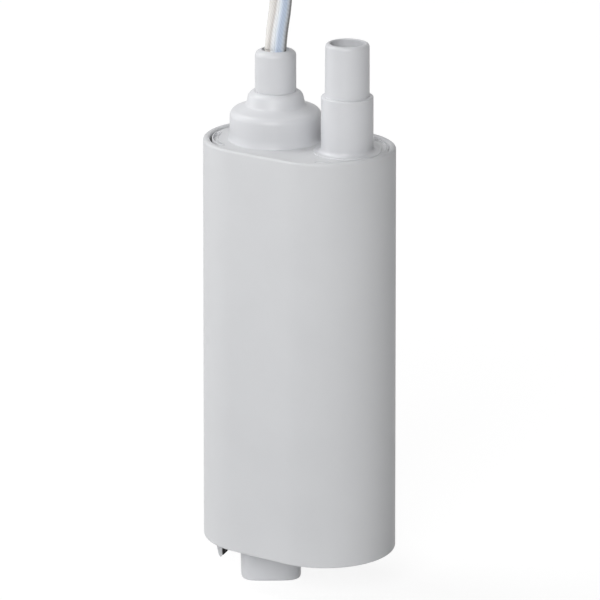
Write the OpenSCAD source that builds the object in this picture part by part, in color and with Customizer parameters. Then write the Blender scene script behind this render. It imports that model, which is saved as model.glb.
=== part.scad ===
// Submersible sump pump for a 12 volt supply: an oval casing that holds a sealed brushed
// motor, a one-stage centrifugal pump under it and a riser pipe beside it.
// The long axis of the oval lies along X: the motor, the cable gland and the inlet are on
// the -X side, and the hose spigot is on the +X side. The inlet nub stands on Z = 0.

/* [Casing] */
// Length of the oval casing
casing_length = 48; // [48:0.5:56]
// Width of the oval casing
casing_width = 33; // [33:0.5:38]
// Height of the casing from edge to edge
casing_height = 98.6; // [96:0.2:120]
// Wall of the casing
casing_wall = 1.6; // [1.2:0.1:1.8]
// Depth of the top cap's floor below the casing's rim
rim_depth = 0.3; // [0.2:0.1:0.8]
// Depth of the bottom cap inside the casing's lower edge
base_recess = 1.5; // [0.5:0.1:2.5]
// Thickness of both caps
cap_thickness = 2.4; // [2.2:0.1:3]

/* [Cable gland] */
// Diameter of the gland's ring on the top cap
gland_diameter = 21.6; // [20:0.2:23]
// Height of the gland ring's wall above the casing's rim
gland_wall_height = 5.2; // [4.8:0.1:6]
// Diameter of the dome on the gland
dome_diameter = 13.6; // [13:0.2:15]
// Height of the dome's top above the casing's rim
dome_height = 11.3; // [10.8:0.1:13]
// Diameter of the cable sleeve that stands in the dome
sleeve_diameter = 9.7; // [9:0.1:10.4]
// Height of the sleeve's top above the casing's rim
sleeve_height = 21; // [17:0.5:24]

/* [Hose spigot] */
// Distance of the spigot's axis from the casing's outer end
spigot_inset = 10.3; // [9.7:0.1:10.4]
// Diameter of the lower step, for a 12 mm hose
lower_step_diameter = 12.2; // [11.6:0.1:12.8]
// Diameter of the upper step, for a 10 mm hose
upper_step_diameter = 10.3; // [9.6:0.1:11]
// Height of the ledge between the steps above the casing's rim
ledge_height = 13; // [8:0.5:18]
// Height of the spigot's mouth above the casing's rim
spigot_height = 25.6; // [20:0.2:32]
// Bore of the spigot
spigot_bore = 8.2; // [7:0.1:8.6]
// Outer diameter of the riser pipe
riser_diameter = 10; // [9:0.1:10]
// Wall of the riser pipe
riser_wall = 1; // [0.8:0.1:1.4]

/* [Inlet] */
// Diameter of the inlet nub where it leaves the bottom cap
nub_diameter = 14.8; // [14:0.1:16]
// Length of the nub below the casing's edge
nub_height = 10; // [8:0.5:14]
// How much narrower the nub is at its foot
nub_taper = 0.4; // [0:0.1:1.2]
// Rounding of the nub's lower edge
nub_rounding = 0.6; // [0.4:0.1:1.2]
// Wall of the nub
nub_wall = 1.7; // [1.3:0.1:2]
// Diameter of the inlet in the nub's foot
inlet_diameter = 9.2; // [7:0.2:9.6]
// Number of slots in the strainer
strainer_slots = 5; // [3:2:7]

/* [Motor] */
// Room between the motor's can and the casing's wall; the can fills the rest
motor_room = 1.05; // [0.8:0.05:2]
// Length of the motor's can
motor_length = 46; // [42:0.5:54]
// Diameter of the shaft
shaft_diameter = 2.3; // [2:0.1:3]
// Thickness of the magnets
magnet_thickness = 2.5; // [1.8:0.1:3]
// Gap between the magnets and the armature
air_gap = 0.4; // [0.3:0.05:0.8]
// Number of poles on the armature
armature_poles = 5; // [3:2:7]
// Radial clearance of the shaft in its bearings
bearing_clearance = 0.03; // [0.02:0.01:0.06]

/* [Pump stage] */
// Number of vanes
vane_count = 6; // [4:1:8]
// Height of the vanes
vane_height = 4.5; // [3:0.25:5]
// Thickness of a vane
vane_thickness = 0.9; // [0.7:0.1:1.3]
// Clearance above and below the impeller
impeller_clearance = 0.8; // [0.5:0.1:1.2]
// Growth of the volute over one turn
volute_growth = 1.4; // [1:0.1:1.6]
// Wall of the pump chamber
chamber_wall = 1.4; // [1.2:0.1:1.4]

/* [Cable] */
// Width of the flat twin cable
cable_width = 5.7; // [5:0.1:6]
// Thickness of the flat twin cable
cable_thickness = 2.9; // [2.5:0.1:3]
// Turns of the cable's coil
coil_turns = 3.5; // [2.5:1:4.5]
// Diameter of the coil at the middle of its turns
coil_diameter = 57; // [56:1:68]
// Distance from turn to turn
coil_pitch = 3.5; // [3.4:0.1:4.5]

/* [Hidden] */
$fn = 72;

slide_fit = 0.1;      // radial gap of a part that slides into its seat
bond_gap = 0.05;      // gap that the glue or a squeezed seal fills
press_gap = 0.02;     // gap at a pressed seat

// Levels, from the foot up
edge_z = nub_height;
rim_z = edge_z + casing_height;
top_floor_z = rim_z - rim_depth;
top_under_z = top_floor_z - cap_thickness;
base_under_z = edge_z + base_recess;
base_top_z = base_under_z + cap_thickness;
nub_flange = 1.2;
cover_z = base_top_z + nub_flange;
cover_thickness = 2;
gasket_z = cover_z + cover_thickness;
gasket_thickness = 0.5;
chamber_z = gasket_z + gasket_thickness;
impeller_z = gasket_z + impeller_clearance;
impeller_plate = 1.3;
impeller_top_z = impeller_z + vane_height + impeller_plate;
chamber_roof = 1.6;
roof_z = impeller_top_z + impeller_clearance;
plate_z = roof_z + chamber_roof;
plate_thickness = 2.8;
motor_z = plate_z + plate_thickness;
motor_top_z = motor_z + motor_length;

// Axes; the motor's can is as wide as the casing and the riser let it be
riser_x = casing_length/2 - spigot_inset;
riser_gap = 2;        // least gap between the can and the riser pipe
wall_x = -casing_length/2 + casing_wall;
can_r = min(casing_width/2 - casing_wall - motor_room,
    (riser_x - riser_diameter/2 - riser_gap - wall_x - motor_room)/2);
motor_x = wall_x + motor_room + can_r;
nub_shift = 0.9;      // the inlet's place off the motor's axis
nub_x = motor_x - nub_shift;
fillet = 0.6;         // round the spigot's foot on the top cap
gland_shift = 0.9;    // the gland's place off the middle between the wall and the spigot
gland_x = (wall_x + riser_x - lower_step_diameter/2 - fillet)/2 + gland_shift;

// Oval caps
end_offset = (casing_length - casing_width)/2;
cap_inset = casing_wall + slide_fit;
seal_depth = 1;
seal_height = 1;
ledge_width = 1;
ledge_thickness = 1.5;
pocket_inset = 2.85;  // curved pockets that lighten the top cap's ends
pocket_width = 0.9;
pocket_depth = 0.35;
pocket_from = 17;
pocket_to = 63;
skirt_height = 2.6;
skirt_wall = 1;

// Cable gland, with radii and with heights above the casing's rim
gland_r = gland_diameter/2;
dome_r = dome_diameter/2;
sleeve_r = sleeve_diameter/2;
gland_neck_r = gland_r - 1.9;
gland_neck_length = cap_thickness + 1.2;
gland_round = 2;
dome_round = 1.9;
shoulder_rise = 0.65;
sleeve_seat = dome_height - 1.5;
sleeve_round = 1.4;
sleeve_stem_r = sleeve_r - 0.85;
sleeve_mouth_r = sleeve_r - sleeve_round - 0.2;
sleeve_mouth_depth = 1.5;
seal_cavity_r = gland_neck_r - 1.5;
seal_cavity_top = 2;
retainer_thickness = 3;
gland_foot_z = top_floor_z - gland_neck_length;

// Spigot and riser
lower_r = lower_step_diameter/2;
upper_r = upper_step_diameter/2;
bore_r = spigot_bore/2;
spigot_neck_r = lower_r - 0.3;
spigot_seat_z = top_floor_z + fillet + bond_gap;
riser_r = riser_diameter/2;
socket_r = riser_r + slide_fit;
collar_r = riser_r + 1.9;
collar_length = 8;
socket_depth = 6.5;
groove_height = 1.3;
ring_wire_r = 0.42;
lip_round = 0.9;

// Pump chamber, a little narrower than the motor above it
chamber_step = 0.45;
chamber_r = can_r - chamber_step;
volute_end_r = chamber_r - chamber_wall;
volute_r = volute_end_r - volute_growth;
tongue_gap = 0.6;     // from the impeller's edge to the start of the volute
impeller_r = volute_r - tongue_gap;
well_r = riser_r - riser_wall + 0.2;
well_wall_r = collar_r + 0.3;
eye_r = 4;
hub_r = 3;
vane_setback = 0.3;
tongue_angle = -42;
exit_angle = -75;
screw_r = 1;
screw_head_r = 1.7;
screw_head = 1.1;
screw_length = 7;
boss_screw = about_motor(chamber_r + 0.6, 26);  // where the wall runs on to the well
end_screw = [riser_x + (well_r + well_wall_r)/2, 0];

// Motor
can_wall = 1;
magnet_r = can_r - can_wall - bond_gap;
core_r = magnet_r - magnet_thickness - air_gap;
shaft_r = shaft_diameter/2;
bush_r = shaft_r + 1.85;
bush_length = 3.3;
boss_r = bush_r + 2;
boss_height = 1.5;
gear_length = 24;     // what the bearings, the end turns and the brush gear take of the can
core_length = motor_length - gear_length;
end_turns = 3.4;
comm_gap = 1.2;       // from the end turns to the commutator's segments
comm_length = 4.6;
comm_overhang = 0.5;  // of its sleeve above the segments
thrust_gap = 0.9;     // from the sleeve to the upper bearing
bush_step = 0.4;      // how far the upper bearing stands out of the end bell
endbell_thickness = 3.5;
core_rise = gear_length - end_turns - comm_gap - comm_length - comm_overhang - thrust_gap
    - bush_step - endbell_thickness;    // from the can's foot to the armature's core
core_z = motor_z + core_rise;
magnet_overhang = 4;  // at each end of the core
magnet_length = core_length + 2*magnet_overhang;
magnet_z = core_z + core_length/2 - magnet_length/2;
magnet_arc = 130;
comm_z = core_z + core_length + end_turns + comm_gap;
comm_r = shaft_r + 2.25;
comm_sleeve_r = shaft_r + 1.05;
comm_slit = 0.4;
endbell_z = motor_top_z - endbell_thickness;
upper_bush_z = endbell_z - bush_step;
shaft_top_z = upper_bush_z + bush_length - 0.3;
brush_gap = 0.1;
brush_width = 2.4;
brush_length = 2.9;
arm_thickness = 0.35;
arm_y = comm_r + brush_gap + brush_length;
terminal_y = arm_y + arm_thickness + 0.25;
terminal_rise = 5;
terminal_width = 2.8;
terminal_thickness = 0.5;
seal_pocket_r = shaft_r + 3.4;
seal_top_z = motor_z - boss_height - 0.1;
screw_circle = 8.6;

// Bleed valve beside the nub, in the rounded end of the oval
valve_inset = 2.3;
valve_angle = 226.3;
valve_ring_r = casing_width/2 - casing_wall - valve_inset;
valve_spot = [valve_ring_r*cos(valve_angle) - end_offset, valve_ring_r*sin(valve_angle)];
valve_depth = 2.4;
valve_turn = 35.7;
valve_tip = edge_z - 4.95;

// Cable inside the pump
cable_turn = 0;       // the cable's broad side against the casing's long axis
tail_length = 6;      // flat cable below its retainer
tail_z = gland_foot_z - retainer_thickness - tail_length;
sleeve_top_z = rim_z + sleeve_height;
core_spacing = cable_width - cable_thickness;
lead_r = 1.25;

function unit(v) = v/norm(v);
function across(v, t) = unit(v - (v*t)*t);
function last(list) = list[len(list) - 1];
function arc(centre, r, from, to, steps = 8) =
    [for (i = [0:steps]) let (a = from + (to - from)*i/steps)
        centre + r*[cos(a), sin(a)]];
function about_motor(r, a) = [motor_x + r*cos(a), r*sin(a)];
function about_riser(r, a) = [riser_x + r*cos(a), r*sin(a)];

// Outline of the casing, drawn in by a distance
module oval(inset = 0) {
    r = casing_width/2 - inset;
    for (side = [-1, 1]) translate([side*end_offset, 0]) circle(r);
    square([2*end_offset, 2*r], center = true);
}

module oval_slab(z, height, inset) {
    translate([0, 0, z]) linear_extrude(height) oval(inset);
}

module oval_ring(z, height, outer, inner) {
    translate([0, 0, z]) linear_extrude(height) difference() {
        oval(outer);
        oval(inner);
    }
}

module disc(x, z, r, height) {
    translate([x, 0, z]) cylinder(h = height, r = r);
}

module tube_at(x, z, r, hole, height) {
    translate([x, 0, z]) difference() {
        cylinder(h = height, r = r);
        translate([0, 0, -1]) cylinder(h = height + 2, r = hole);
    }
}

// Two circles on the X axis and the straight sides that touch both
module belt(x1, r1, x2, r2) {
    a = acos((r1 - r2)/(x2 - x1));
    translate([x1, 0]) circle(r1);
    translate([x2, 0]) circle(r2);
    polygon([
        [x1 + r1*cos(a), r1*sin(a)], [x1 + r1*cos(a), -r1*sin(a)],
        [x2 + r2*cos(a), -r2*sin(a)], [x2 + r2*cos(a), r2*sin(a)]]);
}

// A tube through rings of points; all rings have the same number of points
module sweep(rings) {
    sides = len(rings[0]);
    count = len(rings);
    far = (count - 1)*sides;
    polyhedron(
        points = [for (ring = rings) each ring],
        faces = concat(
            [for (j = [1:sides - 2]) [0, j, j + 1]],
            [for (j = [1:sides - 2]) [far, far + j + 1, far + j]],
            [for (i = [0:count - 2], j = [0:sides - 1])
                [i*sides + j, (i + 1)*sides + j, i*sides + (j + 1) % sides]],
            [for (i = [0:count - 2], j = [0:sides - 1])
                [i*sides + (j + 1) % sides, (i + 1)*sides + j,
                    (i + 1)*sides + (j + 1) % sides]]));
}

// Rings of an outline along a line; edge is where the outline's second axis points
function rings_along(line, edges, outline, first, end) =
    [for (i = [0:len(line) - 1])
        let (t = i == 0 ? first : i == len(line) - 1 ? end : unit(line[i + 1] - line[i - 1]),
            e = across(edges[i], t), n = cross(t, e))
        [for (p = outline) line[i] + p[0]*n + p[1]*e]];

function round_outline(r, sides = 8) =
    [for (i = [0:sides - 1]) r*[cos(360*i/sides), -sin(360*i/sides)]];

// ---- Casing and caps ----

module casing() color("gainsboro") difference() {
    oval_slab(edge_z, casing_height, 0);
    difference() {
        oval_slab(edge_z - 1, casing_height + 2, casing_wall);
        oval_ring(top_under_z - ledge_thickness, ledge_thickness,
            casing_wall - 1, casing_wall + ledge_width);
        oval_ring(base_top_z + skirt_height, ledge_thickness,
            casing_wall - 1, casing_wall + ledge_width);
    }
}

// Plate with a groove for its seal in the edge
module cap_plate(z, thickness) {
    groove_z = z + (cap_thickness - seal_height)/2;
    difference() {
        oval_slab(z, thickness, cap_inset);
        oval_ring(groove_z, seal_height, cap_inset - 1, cap_inset + seal_depth);
    }
}

module cap_ring(z) {
    groove_z = z + (cap_thickness - seal_height)/2;
    oval_ring(groove_z + bond_gap, seal_height - 2*bond_gap, casing_wall + bond_gap,
        cap_inset + seal_depth - bond_gap);
}

// Four curved pockets with round ends, two in each end of the top cap
module cap_pockets() {
    pocket_r = casing_width/2 - pocket_inset;
    for (side = [-1, 1], turn = [pocket_from, -pocket_to])
        translate([side*end_offset, 0, top_floor_z - pocket_depth]) linear_extrude(1)
            rotate(side > 0 ? turn : 180 + turn) {
                for (a = [0, pocket_to - pocket_from])
                    rotate(a) translate([pocket_r, 0]) circle(pocket_width/2, $fn = 16);
                polygon(concat(
                    arc([0, 0], pocket_r + pocket_width/2, 0, pocket_to - pocket_from),
                    arc([0, 0], pocket_r - pocket_width/2, pocket_to - pocket_from, 0)));
            }
}

module top_cap() color("gainsboro") {
    difference() {
        union() {
            difference() {
                cap_plate(top_under_z, cap_thickness);
                cap_pockets();
            }
            translate([riser_x, 0, top_floor_z]) rotate_extrude()
                polygon(concat([[spigot_neck_r - 0.4, -0.5], [lower_r + fillet, -0.5]],
                    arc([lower_r + fillet, fillet], fillet, 270, 180),
                    [[spigot_neck_r - 0.4, fillet]]));
        }
        disc(gland_x, top_under_z - 1, gland_neck_r + slide_fit, cap_thickness + 2);
        disc(riser_x, top_under_z - 1, spigot_neck_r + slide_fit, cap_thickness + 4);
    }
}

module top_cap_seal() color("dimgray") cap_ring(top_under_z);

module bottom_cap() color("gainsboro") {
    difference() {
        union() {
            cap_plate(base_under_z, cap_thickness);
            oval_ring(base_top_z, skirt_height, cap_inset, cap_inset + skirt_wall);
        }
        disc(nub_x, base_under_z - 1, nub_diameter/2 + slide_fit, cap_thickness + 2);
    }
    valve_profile([[-1.6, base_under_z + 0.5], [-1.4, valve_tip + 3.2], [-0.9, valve_tip + 0.7],
        [-0.55, valve_tip + 0.1], [-0.3, valve_tip], [-bond_gap, valve_tip + 0.2],
        [-bond_gap, base_under_z + 0.5]]);
}

module bottom_cap_seal() color("dimgray") cap_ring(base_under_z);

// An upright profile of the bleed valve, turned askew to the casing
module valve_profile(points) {
    translate([valve_spot[0], valve_spot[1], 0]) rotate([90, 0, valve_turn])
        translate([0, 0, -valve_depth/2]) linear_extrude(valve_depth) polygon(points);
}

// Rubber duckbill that lets air out of the pump chamber
module bleed_valve() color("black") valve_profile([[0, base_under_z],
    [0, valve_tip + 0.45], [0.25, valve_tip + 0.5], [1.5, valve_tip + 1.75],
    [2, valve_tip + 2.6], [2, base_under_z]]);

// ---- Cable gland ----

module gland_body() color("gainsboro") translate([gland_x, 0, rim_z]) rotate_extrude()
    polygon(concat(
        [[seal_cavity_r, gland_foot_z - rim_z], [gland_neck_r, gland_foot_z - rim_z],
            [gland_neck_r, -rim_depth], [gland_r, -rim_depth]],
        arc([gland_r - gland_round, gland_wall_height], gland_round, 0, 70),
        [[dome_r + 0.9, gland_wall_height + gland_round + shoulder_rise - 0.15]],
        arc([dome_r + 0.6, gland_wall_height + gland_round + shoulder_rise + 0.5], 0.6,
            250, 180, 4),
        arc([dome_r - dome_round, dome_height - dome_round], dome_round, 0, 85),
        [[sleeve_r + slide_fit, dome_height], [sleeve_r + slide_fit, sleeve_seat],
            [sleeve_stem_r + slide_fit, sleeve_seat],
            [sleeve_stem_r + slide_fit, seal_cavity_top],
            [seal_cavity_r, seal_cavity_top]]));

// Cross-section of the flat twin cable, widened by a gap all round
module cable_section(grow = 0) {
    rotate(cable_turn) {
        for (side = [-1, 1])
            translate([side*core_spacing/2, 0]) circle(cable_thickness/2 + grow, $fn = 32);
        square([core_spacing, cable_thickness*0.6 + 2*grow], center = true);
    }
}

module cable_slot(z, height, grow) {
    translate([gland_x, 0, z]) linear_extrude(height) cable_section(grow);
}

module cable_sleeve() color("gainsboro") difference() {
    translate([gland_x, 0, rim_z]) rotate_extrude() polygon(concat(
        [[0, seal_cavity_top + 0.2], [sleeve_stem_r, seal_cavity_top + 0.2],
            [sleeve_stem_r, sleeve_seat], [sleeve_r, sleeve_seat]],
        arc([sleeve_r - sleeve_round, sleeve_height - sleeve_round], sleeve_round, 0, 90),
        [[0, sleeve_height]]));
    cable_slot(rim_z, sleeve_height + 1, slide_fit);
    disc(gland_x, sleeve_top_z - sleeve_mouth_depth, sleeve_mouth_r, sleeve_mouth_depth + 1);
}

module cable_seal() color("dimgray") difference() {
    disc(gland_x, gland_foot_z + bond_gap, seal_cavity_r - bond_gap,
        rim_z + seal_cavity_top - gland_foot_z - 2*bond_gap);
    cable_slot(gland_foot_z - 1, gland_neck_length + rim_depth + seal_cavity_top + 2, press_gap);
}

module seal_retainer() color("gainsboro") difference() {
    disc(gland_x, gland_foot_z - retainer_thickness, gland_neck_r - slide_fit,
        retainer_thickness);
    cable_slot(gland_foot_z - retainer_thickness - 1, retainer_thickness + 2, slide_fit);
}

// ---- Hose spigot and riser ----

module hose_spigot() color("gainsboro") translate([riser_x, 0, 0]) rotate_extrude()
    polygon(concat(
        [[socket_r, top_under_z - collar_length], [collar_r, top_under_z - collar_length],
            [collar_r, top_under_z], [spigot_neck_r, top_under_z],
            [spigot_neck_r, spigot_seat_z], [lower_r, spigot_seat_z]],
        arc([lower_r - 0.6, rim_z + ledge_height - 0.6], 0.6, 0, 90, 4),
        [[upper_r, rim_z + ledge_height]],
        arc([upper_r - lip_round, rim_z + spigot_height - lip_round], lip_round, 0, 90, 6),
        arc([bore_r + 0.15, rim_z + spigot_height - 0.15], 0.15, 90, 180, 2),
        [[bore_r, top_under_z - collar_length + socket_depth],
            [socket_r, top_under_z - collar_length + socket_depth],
            [socket_r, spigot_groove_z + groove_height],
            [groove_r, spigot_groove_z + groove_height],
            [groove_r, spigot_groove_z], [socket_r, spigot_groove_z]]));

groove_r = socket_r + 2*ring_wire_r;
spigot_groove_z = top_under_z - collar_length + 2;
chamber_groove_z = plate_z + socket_depth - 2 - groove_height + 1.5;
riser_foot_z = plate_z + 1.5;
riser_top_z = top_under_z - collar_length + socket_depth - slide_fit;

module riser_pipe() color("white")
    tube_at(riser_x, riser_foot_z, riser_r, riser_r - riser_wall,
        riser_top_z - riser_foot_z);

module riser_seals() color("dimgray")
    for (z = [spigot_groove_z, chamber_groove_z])
        translate([riser_x, 0, z + groove_height/2]) rotate_extrude()
            translate([riser_r + slide_fit/2 + ring_wire_r, 0]) circle(ring_wire_r, $fn = 16);

// ---- Inlet ----

module inlet_nub() color("gainsboro") translate([nub_x, 0, 0]) rotate_extrude() {
    top_r = nub_diameter/2;
    foot_r = top_r - nub_taper/2;
    polygon(concat(
        [[inlet_diameter/2, 0]],
        arc([foot_r - nub_rounding, nub_rounding], nub_rounding, 270, 360),
        [[top_r, edge_z], [top_r, base_top_z], [top_r + 1.4, base_top_z],
            [top_r + 1.4, cover_z], [strainer_r + bond_gap, cover_z],
            [strainer_r + bond_gap, strainer_z], [inlet_diameter/2, strainer_z]]));
}

strainer_r = nub_diameter/2 - nub_taper/2 - nub_wall;
strainer_z = 0.9;
strainer_thickness = 1.2;

// Disc with straight slots that keeps grit out of the impeller
module inlet_strainer() color("gainsboro") translate([nub_x, 0, strainer_z]) difference() {
    cylinder(h = strainer_thickness, r = strainer_r);
    pitch = 2*strainer_r/(strainer_slots + 1);
    for (i = [1:strainer_slots]) {
        x = -strainer_r + i*pitch;
        length = 2*sqrt(pow(strainer_r - 0.9, 2) - x*x);
        translate([x - pitch/4, -length/2, -1]) cube([pitch/2, length, strainer_thickness + 2]);
    }
}

// ---- Pump stage ----

module chamber_outline() belt(motor_x, chamber_r, riser_x, well_wall_r);

// Spiral that widens in the direction of the flow, its channel and the well of the riser
module volute_cavity() {
    turn = 360 + exit_angle - tongue_angle;
    polygon(concat(
        [for (i = [0:36]) about_motor(volute_r + volute_growth*i/36, tongue_angle + turn*i/36)],
        [about_riser(well_r*0.9, exit_angle), about_riser(well_r*0.9, 160)]));
    translate([riser_x, 0]) circle(well_r);
}

module screw_holes(z, height, r) {
    for (spot = [boss_screw, end_screw])
        translate([spot[0], spot[1], z]) cylinder(h = height, r = r, $fn = 24);
}

module chamber_cover() color("silver") difference() {
    translate([0, 0, cover_z]) linear_extrude(cover_thickness) chamber_outline();
    disc(motor_x, cover_z - 1, eye_r, cover_thickness + 2);
    screw_holes(cover_z - 1, cover_thickness + 2, screw_r + slide_fit);
}

module chamber_gasket() color("dimgray") difference() {
    translate([0, 0, gasket_z]) linear_extrude(gasket_thickness) difference() {
        chamber_outline();
        volute_cavity();
    }
    screw_holes(gasket_z - 1, gasket_thickness + 2, screw_r + slide_fit);
}

module pump_chamber() color("silver") difference() {
    union() {
        translate([0, 0, chamber_z]) linear_extrude(plate_z - chamber_z) chamber_outline();
        disc(riser_x, plate_z, collar_r, socket_depth + 1.5);
    }
    translate([0, 0, chamber_z - 1]) linear_extrude(roof_z - chamber_z + 1) volute_cavity();
    disc(motor_x, roof_z - 1, seal_pocket_r, chamber_roof + 2);
    disc(riser_x, roof_z - 1, riser_r - riser_wall, riser_foot_z - roof_z + 2);
    disc(riser_x, riser_foot_z, socket_r, socket_depth + 5);
    disc(riser_x, chamber_groove_z, groove_r, groove_height);
    screw_holes(chamber_z - 1, screw_length - cover_thickness + 1, screw_r + press_gap);
}

module cover_screws() color("lightsteelblue")
    for (spot = [boss_screw, end_screw]) translate([spot[0], spot[1], cover_z]) {
        cylinder(h = screw_length - 0.6, r = screw_r, $fn = 24);
        translate([0, 0, -screw_head]) difference() {
            cylinder(h = screw_head, r = screw_head_r, $fn = 24);
            for (turn = [0, 90]) rotate(turn)
                translate([-1.2, -0.25, -1]) cube([2.4, 0.5, 1.7]);
        }
    }

// One backward-curved vane, from near the hub to just inside the plate's edge
module vane() {
    reach = impeller_r*0.65;
    bend = impeller_r*0.7;
    intersection() {
        difference() {
            circle(impeller_r - vane_setback);
            circle(hub_r + vane_setback);
        }
        translate([reach, 0]) difference() {
            circle(bend + vane_thickness/2);
            circle(bend - vane_thickness/2);
        }
        translate([-2*impeller_r, 0]) square([4*impeller_r, 2*impeller_r]);
    }
}

// Semi-open impeller: vanes under a plate, with a hub pressed on the shaft
module impeller() color("dimgray") difference() {
    union() {
        translate([motor_x, 0, impeller_z]) linear_extrude(vane_height)
            for (i = [0:vane_count - 1]) rotate(360*i/vane_count) vane();
        disc(motor_x, impeller_z + vane_height, impeller_r, impeller_plate);
        translate([motor_x, 0, impeller_z]) cylinder(h = vane_height, r1 = hub_r - 0.8,
            r2 = hub_r);
    }
    disc(motor_x, impeller_z + 1, shaft_r + press_gap, vane_height + impeller_plate);
}

module shaft_seal() color("black")
    tube_at(motor_x, roof_z, seal_pocket_r - bond_gap, shaft_r + bond_gap,
        seal_top_z - roof_z);

module seal_plate() color("silver") difference() {
    disc(motor_x, plate_z, can_r, plate_thickness);
    disc(motor_x, plate_z - 1, seal_pocket_r, plate_thickness + 2);
    disc(motor_x, motor_z - boss_height, boss_r + slide_fit, boss_height + 1);
    motor_screw_holes(plate_z - 1, screw_head + 1 + slide_fit, screw_head_r + slide_fit);
    motor_screw_holes(plate_z - 1, plate_thickness + 2, screw_r + 2*slide_fit);
}

// ---- Motor ----

module motor_screw_holes(z, height, r) {
    for (side = [-1, 1])
        translate([motor_x, side*screw_circle, z]) cylinder(h = height, r = r, $fn = 24);
}

module motor_screws() color("lightsteelblue") {
    motor_screw_holes(plate_z + bond_gap, screw_head, screw_head_r);
    motor_screw_holes(plate_z + screw_head, plate_thickness - screw_head + can_wall + 1.5,
        screw_r);
}

module motor_can() color("lightgray") difference() {
    union() {
        disc(motor_x, motor_z, can_r, motor_length);
        disc(motor_x, motor_z - boss_height, boss_r, boss_height + 1);
    }
    disc(motor_x, motor_z + can_wall, can_r - can_wall, motor_length);
    disc(motor_x, motor_z - boss_height - 1, bush_r + press_gap, boss_height + can_wall + 2);
    motor_screw_holes(motor_z - 1, can_wall + 2, screw_r + press_gap);
}

module magnets() color("dimgray") difference() {
    tube_at(motor_x, magnet_z, magnet_r, magnet_r - magnet_thickness, magnet_length);
    for (side = [0, 180]) translate([motor_x, 0, magnet_z - 1]) rotate(side)
        linear_extrude(magnet_length + 2) polygon([[0, 0],
            2*can_r*[cos(90 - magnet_arc/2), sin(90 - magnet_arc/2)],
            2*can_r*[cos(magnet_arc/2 - 90), sin(magnet_arc/2 - 90)]]);
}

module bush(z) {
    tube_at(motor_x, z, bush_r, shaft_r + bearing_clearance, bush_length);
}

module lower_bearing() color("peru") bush(motor_z - boss_height);

module upper_bearing() color("peru") bush(upper_bush_z);

module motor_endbell() color("ivory") difference() {
    union() {
        disc(motor_x, endbell_z, can_r - can_wall - bond_gap, endbell_thickness);
        disc(motor_x, motor_top_z - 0.5, boss_r, 1.5);
    }
    disc(motor_x, upper_bush_z, bush_r + press_gap, bush_length + press_gap);
    for (side = [-1, 1]) translate([motor_x - terminal_width/2 - press_gap,
        side*(terminal_y + terminal_thickness/2) - terminal_thickness/2 - press_gap,
        endbell_z - 1])
        cube([terminal_width + 2*press_gap, terminal_thickness + 2*press_gap,
            endbell_thickness + 2]);
}

// Both sides of the brush gear are alike
module both_sides() {
    for (side = [0, 180]) translate([motor_x, 0, 0]) rotate(side) children();
}

module brushes() color("dimgray") both_sides()
    translate([-brush_width/2, comm_r + brush_gap, comm_z + 0.6])
        cube([brush_width, brush_length, comm_length - 1.2]);

module brush_arms() color("goldenrod") both_sides() {
    translate([-brush_width/2, arm_y, comm_z])
        cube([brush_width, arm_thickness, endbell_z - comm_z]);
    translate([-brush_width/2, arm_y, endbell_z - arm_thickness])
        cube([brush_width, terminal_y - arm_y, arm_thickness]);
}

module motor_terminals() color("silver") both_sides()
    translate([-terminal_width/2, terminal_y, endbell_z - 0.8]) difference() {
        cube([terminal_width, terminal_thickness, endbell_thickness + terminal_rise + 0.8]);
        translate([terminal_width/2, -1, endbell_thickness + terminal_rise - 1])
            rotate([-90, 0, 0]) cylinder(h = terminal_thickness + 2, r = 0.6, $fn = 24);
    }

// Ceramic disc across the terminals that quiets the brushes
module suppressor() color("orange") {
    disc_r = 3.4;
    disc_thickness = 2;
    wire_r = 0.3;
    wire_z = motor_top_z + terminal_rise - 2.2;
    disc(motor_x, wire_z - disc_thickness/2, disc_r, disc_thickness);
    for (side = [-1, 1]) translate([motor_x, side*(terminal_y - press_gap), wire_z])
        rotate([side*90, 0, 0]) cylinder(h = terminal_y - 1, r = wire_r, $fn = 16);
}

// ---- Rotor ----

module motor_shaft() color("lightsteelblue") {
    shaft_z = impeller_z + 1 + press_gap;
    disc(motor_x, shaft_z, shaft_r, shaft_top_z - shaft_z);
}

// Round slots between the poles
module armature_slots(r, mouth) {
    slot_ring = core_r*0.66;
    for (i = [0:armature_poles - 1]) rotate(360*(i + 0.5)/armature_poles) {
        translate([slot_ring, 0]) circle(r, $fn = 32);
        if (mouth > 0) translate([slot_ring, -mouth/2]) square([core_r, mouth]);
    }
}

slot_r = core_r*min(0.24, 0.5*sin(180/armature_poles));

module armature_core() color("slategray")
    translate([motor_x, 0, core_z]) linear_extrude(core_length) difference() {
        circle(core_r);
        circle(shaft_r + press_gap);
        armature_slots(slot_r, 1.2);
    }

module armature_windings() color("chocolate") {
    slot_ring = core_r*0.66;
    translate([motor_x, 0, core_z]) linear_extrude(core_length)
        armature_slots(slot_r - bond_gap, 0);
    for (z = [core_z - end_turns, core_z + core_length])
        tube_at(motor_x, z, slot_ring + slot_r + 0.4, comm_sleeve_r + 0.3, end_turns);
}

module commutator_sleeve() color("saddlebrown")
    tube_at(motor_x, comm_z - 1, comm_sleeve_r, shaft_r + press_gap,
        comm_length + 1 + comm_overhang);

module commutator_segments() color("peru") difference() {
    tube_at(motor_x, comm_z, comm_r, comm_sleeve_r + press_gap, comm_length);
    for (i = [0:armature_poles - 1]) translate([motor_x, 0, comm_z - 1])
        rotate(360*i/armature_poles)
            translate([0, -comm_slit/2, 0]) cube([2*comm_r, comm_slit, comm_length + 2]);
}

// ---- Inside fittings ----

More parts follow.
